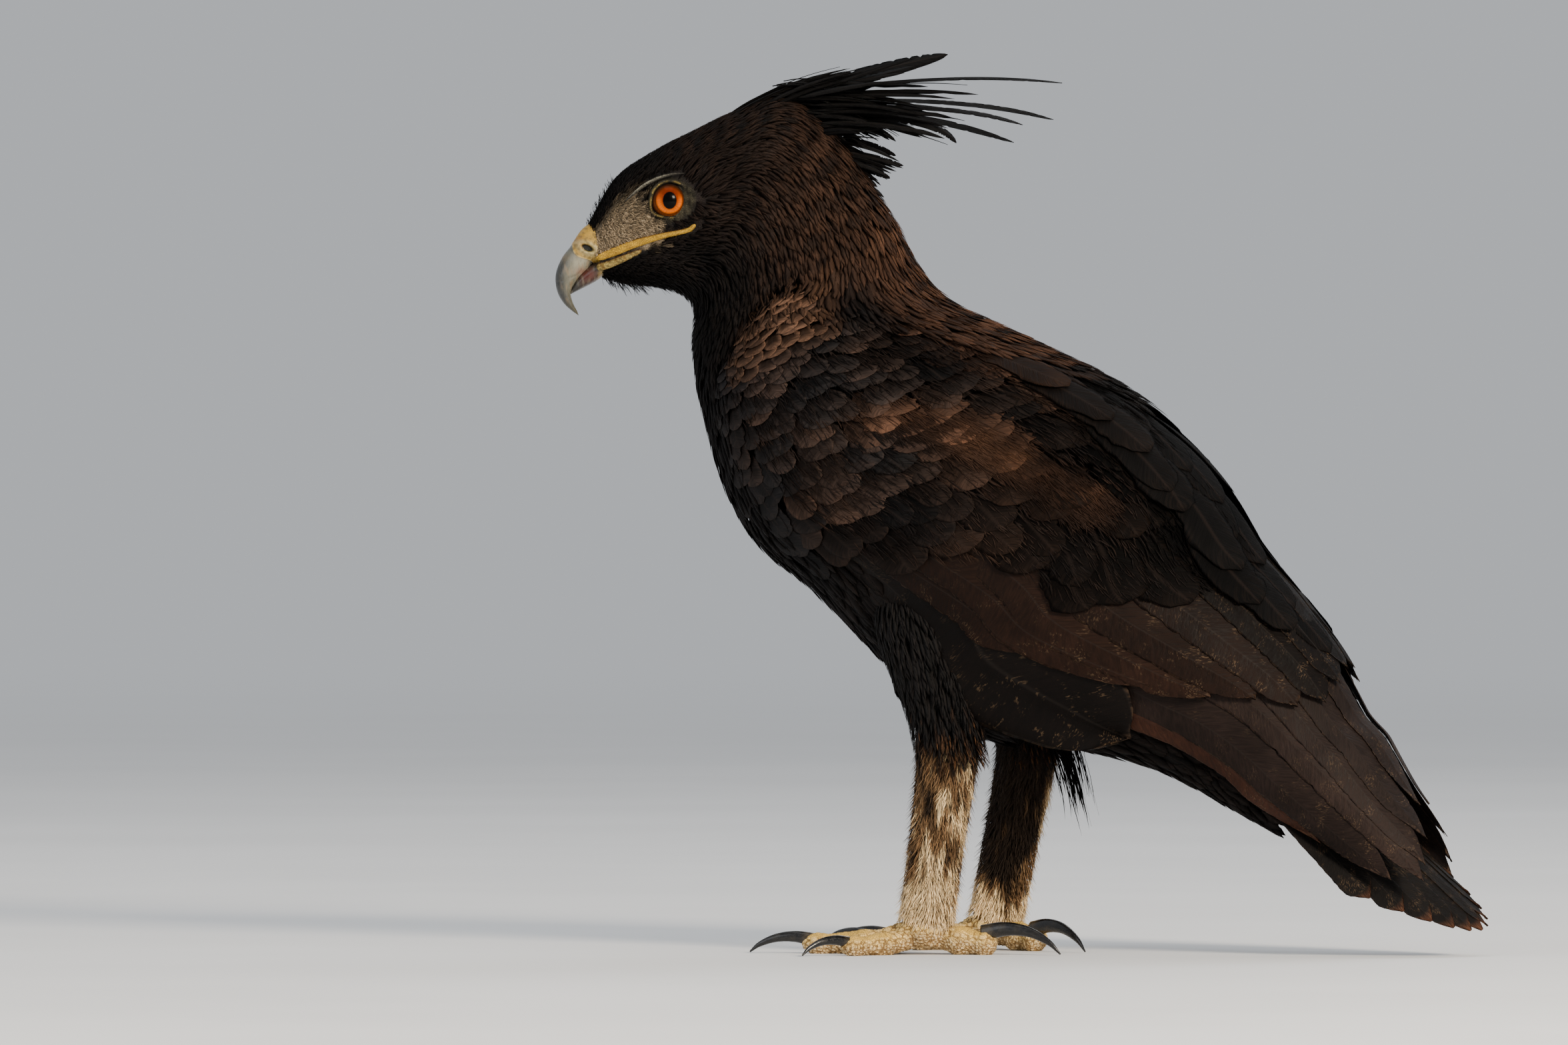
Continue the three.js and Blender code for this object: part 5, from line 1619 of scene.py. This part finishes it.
def flightSheet(sign, feathers, sink, edge, seed):
    # each feather is a closed vane on the wing's surface. The vane nearer the back reaches under its
    # neighbour, and the other one lies free over the next feather. Its width is the fourth root of the share
    # of the way, and falls as a quarter of a circle does over the rounding of the tip.
    draws = np.random.default_rng(seed)
    along = np.linspace(0, 1, 60) ** 0.8
    pieces, count = [], len(feathers)
    for i, (first, halfway, last, rootRow, tipRow, half, rounding, under, hang) in enumerate(feathers):
        s, c = along[:, None], vaneSides[None, :]
        shaft = first * (2 * s - 1) * (s - 1) + halfway * 4 * s * (1 - s) + last * s * (2 * s - 1)
        narrow = np.minimum(1, (s + 0.05) ** 0.25)
        narrow = narrow * np.sqrt(np.clip(1 - (np.clip(s - rounding, 0, 1) / (1 - rounding)) ** 2, 0.004, 1))
        nicks = 0.12 * draws.uniform(0, 1, (60, 1)) ** 4 + 0.02 * draws.uniform(0, 1, (60, 1))
        ragged = 1 - nicks * (np.abs(c) > 0.95)
        angle = shaft + c * half * np.where(c < 0, 1.15, 1) * narrow * ragged
        row = rootRow + (tipRow - rootRow) * s - edge * c**2 * ease(s, 0.5, 1)
        row = row - 0.03 * ease(s, 0.8, 1) * np.repeat(draws.uniform(0, 1, (1, len(vaneSides))), 60, 0)
        bulge = 0.25 * (1 - np.abs(c)) + 0.28 * hill(c, 0, 0.05)
        deep = sink(row) + 0.6 * (1 - c) / 2 + i * 0.02 + under - np.where(vaneBelow, -0.35, bulge)
        deep = deep + 1.6 * fade(s, 0, 0.35) - hang * ease(c, 0.1, 1) * ease(s, 0.2, 0.7)
        points = sectionPoint(outline, row, sign * np.maximum(angle, 1.2), deep, True)[0]
        points[..., 0] = sign * np.maximum(sign * points[..., 0], 0.4)
        pieces.append((points, along, (tipRow - rootRow) * coverts["rowLength"], i / count))
    return pieces


def flightPiece(name, pieces, shadeAt, node):
    # the feathers lie side by side on the map, each on a strip of its own
    count, turn = len(pieces), np.linspace(0, 1, len(vaneSides), endpoint=False)
    parts = []
    for k, (points, along, length, tint) in enumerate(pieces):
        s = along[:, None]
        parts.append({
            "shape": (points[None], along, vaneSides, np.array([length])),
            "tint": np.array([np.mod(tint * 7.3 + 0.31, 1)]),
            "shade": shadeAt(k, s, vaneSides[None, :]),
            "map": ((k + 0.06 + 0.88 * turn) / count, 0.02 + 0.96 * s),
        })
    mergeFeathers(name, parts, flightFeathers, [node], True)


flightLook = dict(
    coatLook, roughness=0.6, slant=0.07, barbs=900.0, drift=2.2, blotch=40.0, streak=0.3, vary=0.15,
    rootDark=0.85, edgeAt=(0.9, 1.0), tipAt=(0.965, 1.0), fringe=0.7, fringeGain=(2.6, 2.2, 1.9),
    fringeOwn=0.3, fringeColour=(0.13, 0.082, 0.05), shaft=0.05, shaftShow=0.3,
    shaftColour=(0.02, 0.016, 0.0135), bump=0.0003, dust=0.42, dustColour=(0.15, 0.095, 0.052),
    sockets={"Specular IOR Level": 0.07},
)
flightFeathers = featherMaterial("flightFeathers", flightLook)


def warmShade(base, warm, share, s, c):
    # a dark feather with some of a warmer colour in it
    return blend(np.array(dusk) * base, np.array(warm), np.asarray(share)[..., None]) + 0 * (s + c)[..., None]


def primaryShade(k, s, c):
    # broad dark feathers, and a reddish strip where the lowest ones show
    warmth = (0.1, 0.1, 0.12, 0.15, 0.15, 0.8)[k]
    return warmShade(1.05, (0.04, 0.015, 0.0085), warmth, s, c)


def secondaryShade(k, s, c):
    # the middle ones are brown where they show, the first and the last ones nearly black
    warmth = (0.05, 0.1, 0.2, 0.5, 0.8, 0.9, 0.9, 0.8, 0.1, 0.1)[k]
    shadowed = 0.55 if k == 2 else 1.0  # under the scapulars' free edge
    return shadowed * warmShade(0.38, (0.0128, 0.0055, 0.0032), warmth * (0.55 + 0.45 * s), s, c)


def tailShade(k, s, c):
    # dark, with a thin reddish edge at the tip
    return warmShade(0.5, (0.1, 0.035, 0.016), 0.4 * ease(s, 0.975, 0.995), s, c)


wingFeathers = {
    # edge's curve, seed, colours, how deep the roots lie and between which rows they come up
    "primaries": (0.3, 5, primaryShade, 3.2, 19.7, 20.2),
    "secondaries": (0.1, 6, secondaryShade, 1.6, 17, 18),
}
for name, sign in signOf.items():
    for kind, (edge, seed, shadeAt, depth, low, high) in wingFeathers.items():
        sheet = flightSheet(sign, flight[kind], lambda row: depth * fade(row, low, high), edge, seed)
        flightPiece(f"{kind}_{name}", sheet, shadeAt, f"wing_{name}_{kind}")

tail = {
    "root": (0, 113, 140),
    "tip": (0, 253.5, 12.5),
    "half": (21, 33),  # of the fan's width, at the root and near the tip
    # one feather's step to the side and half its width, where half the fan is the third number
    "shares": (0.83, 0.92, 5.2),
    "arch": 0.01,  # mm that the fan falls to the sides, over the distance's square
    "roll": 22,  # the left edge hangs lower
    "shorter": 0.0075,  # of the length, times the square of the feather's number from the middle
    "thick": 0.5,
    "count": 12,
}


def tailFeathers():
    # the feathers lie side by side on an arched and tilted fan, the middle pair on top
    root, tip = np.array(tail["root"], float), np.array(tail["tip"], float)
    axis = tip - root
    up = unit(np.array([0, -axis[2], axis[1]]))
    along = np.linspace(0, 1, 60) ** 0.85
    roll = math.radians(tail["roll"])
    step, vane, fan = tail["shares"]
    draws = np.random.default_rng(17)
    s, c = along[:, None], vaneSides[None, :]
    pieces = []
    for i in range(tail["count"]):
        k = i - (tail["count"] - 1) / 2
        narrow = 1 - 0.85 * np.clip((s - 0.94) / 0.06, 0, 1) ** 2.2
        ragged = 1 + 0.03 * draws.uniform(-1, 1, (60, 1)) * (np.abs(c) > 0.95)
        x = (k * step + c * vane * narrow * ragged) / fan * blend(*tail["half"], s**0.8)
        length = 1 - tail["shorter"] * k * k - 0.012 * c * c * ease(s, 0.8, 1)
        lift = 0.7 * np.sign(k) * c + 0.18 * abs(k) + 0.02 * i
        lift = lift + np.where(vaneBelow, tail["thick"], -0.25 * hill(c, 0, 0.06))
        drop = tail["arch"] * x * x + lift + x * math.sin(roll)
        at = root + axis * (s * length)[..., None] - up * drop[..., None]
        at = np.concatenate([np.broadcast_to(x * math.cos(roll), drop.shape)[..., None], at[..., 1:]], -1)
        pieces.append((at, along, np.linalg.norm(axis), i / tail["count"]))
    return pieces


flightPiece("tailFeathers", tailFeathers(), tailShade, "tail")
print("flight feathers made")

crest = {
    # each plume's root, bend and tip as y and z, its place to the left at root and tip, width and roll
    "plumes": [
        ((-66, 376), (-30, 386), (9.5, 395.2), -2, -3, 10, 62),
        ((-60, 378), (8, 384.6), (59, 382.5), 2, 8, 8, 14),
        ((-56, 374), (10, 374.4), (57, 366.5), -3, -8, 8.5, -18),
        ((-50, 371), (4, 371.4), (41, 364), 4, 12, 8, 22),
        ((-48, 369), (-4, 367.8), (40, 356.5), -5, -13, 8.5, -24),
        ((-50, 367), (-8, 366.2), (12.5, 356), 1, 4, 6.5, 50),
        ((-58, 376), (-34, 382.5), (-6, 390), 4, 6, 7, 40),
        ((-50, 361), (-36, 361.8), (-19, 363), 6, 9, 5.5, 48),
        ((-48, 358), (-30, 356.5), (-13, 350.5), -4, -8, 6, -50),
        ((-44, 353), (-28, 350.5), (-11, 346), 2, 4, 5.5, 54),
        ((-40, 348), (-27, 345), (-16, 340.5), -2, -4, 5, -54),
    ],
    "plume": {"stations": 64, "narrow": 0.12, "tip": 4, "notch": 0.4, "cup": 0.18, "thick": (1.1, 0.3)},
    "short": {"stations": 14, "narrow": 0.2, "tip": 2.2, "notch": 0.5, "cup": 0.2, "thick": (0.5, 0.2)},
    "fillers": 130,  # shorter feathers between the plumes' roots
    # how many feathers of the crown rise into the crest, their path and its scatter; then of the nape
    "front": (120, [(0, -84, 364.5), (0, -63, 377.6), (0, -36, 386.2)], (4.5, 4.5, 1.4)),
    "hind": (140, [(0, -66, 370), (0, -48, 370), (0, -31, 362)], (4.5, 3, 5.5)),
    "crown": 0.035,  # how the crown falls away to the sides: mm over the distance's square
}
bladeSides = np.array([-1, -0.45, 0, 0.45, 1, 0.4, 0, -0.4])
bladeTop = 5  # of those, the ones on the upper side


def curveThrough(paths, t):
    # points at t of the parabola through each path's three points, and the way on there
    a, b, c = paths[:, None, 0], paths[:, None, 1], paths[:, None, 2]
    t = t[None, :, None]
    at = a * (2 * t - 1) * (t - 1) + b * 4 * t * (1 - t) + c * t * (2 * t - 1)
    return at, unit(a * (4 * t - 3) + b * (4 - 8 * t) + c * (4 * t - 1))


def blades(paths, wide, rolls, plan, seed):
    # free feathers along curves: cupped, with a raised shaft, and edges cut by notches where barbs part. The
    # width grows with the root of the way as far as narrow, then in a straight line, and rounds off at the
    # tip.
    draws = np.random.default_rng(seed)
    count, stations = len(paths), plan["stations"]
    along = np.linspace(0, 1, stations) ** 0.9
    at, ahead = curveThrough(paths, along)
    level = unit(np.cross(ahead, np.array([0, 0, 1.0])))
    roll = np.radians(rolls)[:, None, None]
    across = level * np.cos(roll) + np.cross(ahead, level) * np.sin(roll)
    up = np.cross(across, ahead)
    profile = np.minimum(1, (along / plan["narrow"]) ** 0.5) * (0.65 + 0.6 * along)
    profile = profile * (1 - along ** plan["tip"]) ** 0.6
    half = wide[:, None] / 2 * np.maximum(profile, 0.04)[None]
    notch = draws.uniform(0, 1, (count, stations, 2)) ** 7 * plan["notch"]
    notch = notch * ease(along, 0.15, 0.5)[None, :, None]
    deep = blend(*plan["thick"], along)[None] * np.ones((count, 1))
    points = np.zeros((count, stations, len(bladeSides), 3))
    for r, c in enumerate(bladeSides):
        out = c * half * (1 - notch[:, :, int(c > 0)] if abs(c) == 1 else 1)
        high = -plan["cup"] * c * c * half
        if r >= bladeTop:
            high = high - deep * 0.5
        elif c == 0:
            high = high + deep * 0.5
        points[:, :, r] = at + across * out[..., None] + up * high[..., None]
    return points, along, bladeSides, np.linalg.norm(paths[:, 2] - paths[:, 0], axis=1)


def crestParts():
    # the long plumes as the table gives them, then shorter feathers scattered about their roots, over the
    # crown before them and down the nape
    rows = crest["plumes"]
    paths = [[(left, *a), ((left + tip) / 2, *b), (tip, *c)] for a, b, c, left, tip, _, _ in rows]
    paths = np.array(paths, float)
    wide, rolls = np.array([row[5] for row in rows], float), np.array([row[6] for row in rows], float)
    plumes = blades(turnHead(paths), wide * 0.8, rolls, crest["plume"], 201)

    draws = np.random.default_rng(211)
    count = crest["fillers"]
    pick = draws.integers(0, len(rows), count)
    slip = draws.uniform(-0.06, 0.14, (count, 1))
    length = draws.uniform(0.3, 0.62, (count, 1)) * np.where(paths[pick, 2, 1] < 0, 1.5, 1)[:, None]
    root, bend, tip = [paths[pick, k] for k in range(3)]
    nearRoot = [draws.normal(0, 4.2, count), draws.normal(0, 1.5, count), draws.normal(-1, 2.0, count)]
    start = root + np.stack(nearRoot, -1)
    fan = np.c_[draws.normal(0, 3.5, count), 0 * pick, draws.normal(-1.2, 1.6, count)]
    end = start + (tip - root) * (length + slip) + fan
    halfway = (start + end) / 2 + (bend - (root + tip) / 2) * length**2 + np.array([0, 0, 1.0])
    paths = {"plumes": paths, "fillers": np.stack([start, halfway, end], 1)}
    for key in ("front", "hind"):
        count, path, spread = crest[key]
        paths[key] = np.array(path, float)[None] + draws.normal(0, 1, (count, 1, 3)) * np.array(spread)
    paths["front"][..., 2] -= crest["crown"] * paths["front"][..., 0] ** 2
    paths["hind"][:, 2] += draws.normal(0, 2, (len(paths["hind"]), 3))
    short = np.concatenate([paths[key] for key in ("fillers", "front", "hind")])
    count = len(short)
    isFiller = np.arange(count) < crest["fillers"]
    wide = np.where(isFiller, draws.uniform(2.4, 4.6, count), draws.uniform(1.2, 2.6, count))
    shorts = blades(turnHead(short), wide, draws.uniform(-70, 70, count), crest["short"], 221)
    made = []
    for shape, path in ((plumes, paths["plumes"]), (shorts, short)):
        shade = np.tile(np.array(black) * 0.75, (len(path), 1))
        made.append({"u": path[:, 0, 1], "v": path[:, 0, 0] * 4, "shape": shape, "shade": shade})
    return made


crestLook = dict(
    coatLook, roughness=0.55, streak=0.35, fringe=0.35, fringeOwn=0.05, fringeGain=(1.8, 1.5, 1.4),
    edgeAt=(0.8, 1.0), tipAt=(0.9, 1.0), sockets={"Specular IOR Level": 0.08}, rootDark=0.7,
)
coatPiece("crestPlumes", crestParts(), featherMaterial("crestPlumes", crestLook), ["crest"])

tuft = {"path": [(-15, 55, 98), (-15, 62, 83), (-14, 66.5, 64)], "count": 110, "spread": 2.8}
strand = {"stations": 7, "narrow": 0.2, "tip": 3, "notch": 0.1, "cup": 0.1, "thick": (0.16, 0.06)}
bristles = (
    # how many, rows, angles, lengths and lean: at the forehead before the crown's feathers, then hanging from
    # the chin, then from the throat
    (150, (-0.05, 0.9), (0, 48), (2.5, 6), (0.0, -0.55, 0.85)),
    (170, (0.0, 1.3), (140, 180), (3, 8.5), (0.0, 0.35, -0.95)),
    (90, (1.3, 3.4), (150, 180), (3, 6.5), (0.0, 0.75, -0.66)),
)


def strands(starts, ends, wide, sag, seed):
    # hair-like barbs, each a thin blade bent by its own sag
    rolls = np.random.default_rng(seed).uniform(-90, 90, len(starts))
    shape = blades(np.stack([starts, (starts + ends) / 2 + sag, ends], 1), wide, rolls, strand, seed)
    return {"u": starts[:, 1], "v": starts[:, 2], "shape": shape, "shade": np.tile(black, (len(starts), 1))}


def tuftParts():
    # hair-like feathers behind the legs, scattered about one path
    draws = np.random.default_rng(231)
    count = tuft["count"]
    a, b, c = [np.array(p, float) for p in tuft["path"]]
    starts = a + draws.normal(0, tuft["spread"], (count, 3)) * np.array([1, 1, 1.6])
    length = draws.uniform(0.55, 1.1, (count, 1))
    ends = starts + (c - a) * length + draws.normal(0, 1.6, (count, 3))
    sag = b - (a + c) / 2 + draws.normal(0, 0.8, (count, 3))
    return [strands(starts, ends, draws.uniform(0.35, 0.95, count), sag, 241)]


def faceBristles():
    # strands that stand off the surface at the forehead, the chin and the throat, swept back a little
    draws = np.random.default_rng(251)
    axis = np.array([0, body["turnAxis"], 0.0])
    turned = lambda ways: turnHead(ways + axis) - turnHead(axis)
    parts = []
    for count, rows, angles, lengths, lean in bristles:
        u = draws.uniform(*rows, count)
        v = draws.uniform(*angles, count) * draws.choice([-1, 1], count)
        starts = outerSurface(u, v, 1.0)
        way = unit(turned(np.array(lean) + draws.normal(0, 0.22, (count, 3))))
        reach = draws.uniform(*lengths, (count, 1))
        ends = starts + way * reach + turned(np.array([0, 1.0, 0])) * reach * 0.35
        parts.append(strands(starts, ends, draws.uniform(0.16, 0.34, count), way * reach * 0.08, 261 + count))
    return parts


coatPiece("ventTuft", tuftParts(), plumage)
coatPiece("faceBristles", faceBristles(), plumage)
print("crest made")

floor = {
    "radius": 30.0,
    "fade": (1.2, 7.0),  # metres from the middle over which the floor turns into the backdrop's own tone
    "tone": (0.74, 0.78),
    "backdrop": (0.80, 0.83, 0.87),
    "strength": 0.62,
}
bpy.ops.mesh.primitive_circle_add(vertices=128, radius=floor["radius"], fill_type="NGON")
ground = bpy.context.object
ground.name = "floor"
paint = Paint("paleFloor", 0.7)
tone = paint.span(paint.noise(paint.place(), 3.0), 0.3, 0.7, *floor["tone"])
paint.join(paint.grey(tone), "Base Color")
away = paint.add("VectorMath", {0: paint.place()}, "Value", operation="LENGTH")
glow = paint.add("Emission", {"Color": (*floor["backdrop"], 1), "Strength": floor["strength"]})
mixed = paint.add("MixShader", {0: paint.span(away, *floor["fade"]), 1: paint.shader.outputs[0], 2: glow})
paint.tree.links.new(mixed, paint.tree.nodes["Material Output"].inputs["Surface"])
ground.data.materials.append(paint.material)

camera = {"azimuth": 105, "elevation": 0.6, "distance": 8.0, "lens": 418, "target": (0.028, -0.105, 0.189)}
lampTarget = (0, 0, 0.2)
lamps = {
    # place and size in metres, watts, colour
    "key": ((1.9, 2.2, 1.45), 0.8, 165, (1.0, 0.88, 0.72)),
    "fill": ((2.2, -1.8, 1.2), 2.2, 26, (0.93, 0.96, 1.0)),
    "rim": ((-2.2, 0.6, 2.4), 1.6, 26, (0.96, 0.98, 1.0)),
    "top": ((0.2, 0.1, 3.0), 2.0, 18, (0.95, 0.98, 1.0)),
}


def aim(thing, place, target):
    away = Vector(place) - Vector(target)
    thing.location = place
    thing.rotation_euler = away.to_track_quat("Z", "Y").to_euler()


a, e = math.radians(camera["azimuth"]), math.radians(camera["elevation"])
back = np.array([math.sin(a) * math.cos(e), -math.cos(a) * math.cos(e), math.sin(e)])
cameraData = bpy.data.cameras.new("camera")
cameraData.lens, cameraData.sensor_width = camera["lens"], 36
cameraObject = newObject("camera", cameraData)
aim(cameraObject, tuple(np.array(camera["target"]) + back * camera["distance"]), camera["target"])
bpy.context.scene.camera = cameraObject
for name, (place, size, watts, colour) in lamps.items():
    data = bpy.data.lights.new(name, "AREA")
    data.size, data.energy, data.color = size, watts, colour
    aim(newObject(name, data), place, lampTarget)
world = bpy.data.worlds.new("studio")
world.use_nodes = True
sky = world.node_tree.nodes["Background"]
sky.inputs["Color"].default_value = (*floor["backdrop"], 1)
sky.inputs["Strength"].default_value = floor["strength"]
bpy.context.scene.world = world
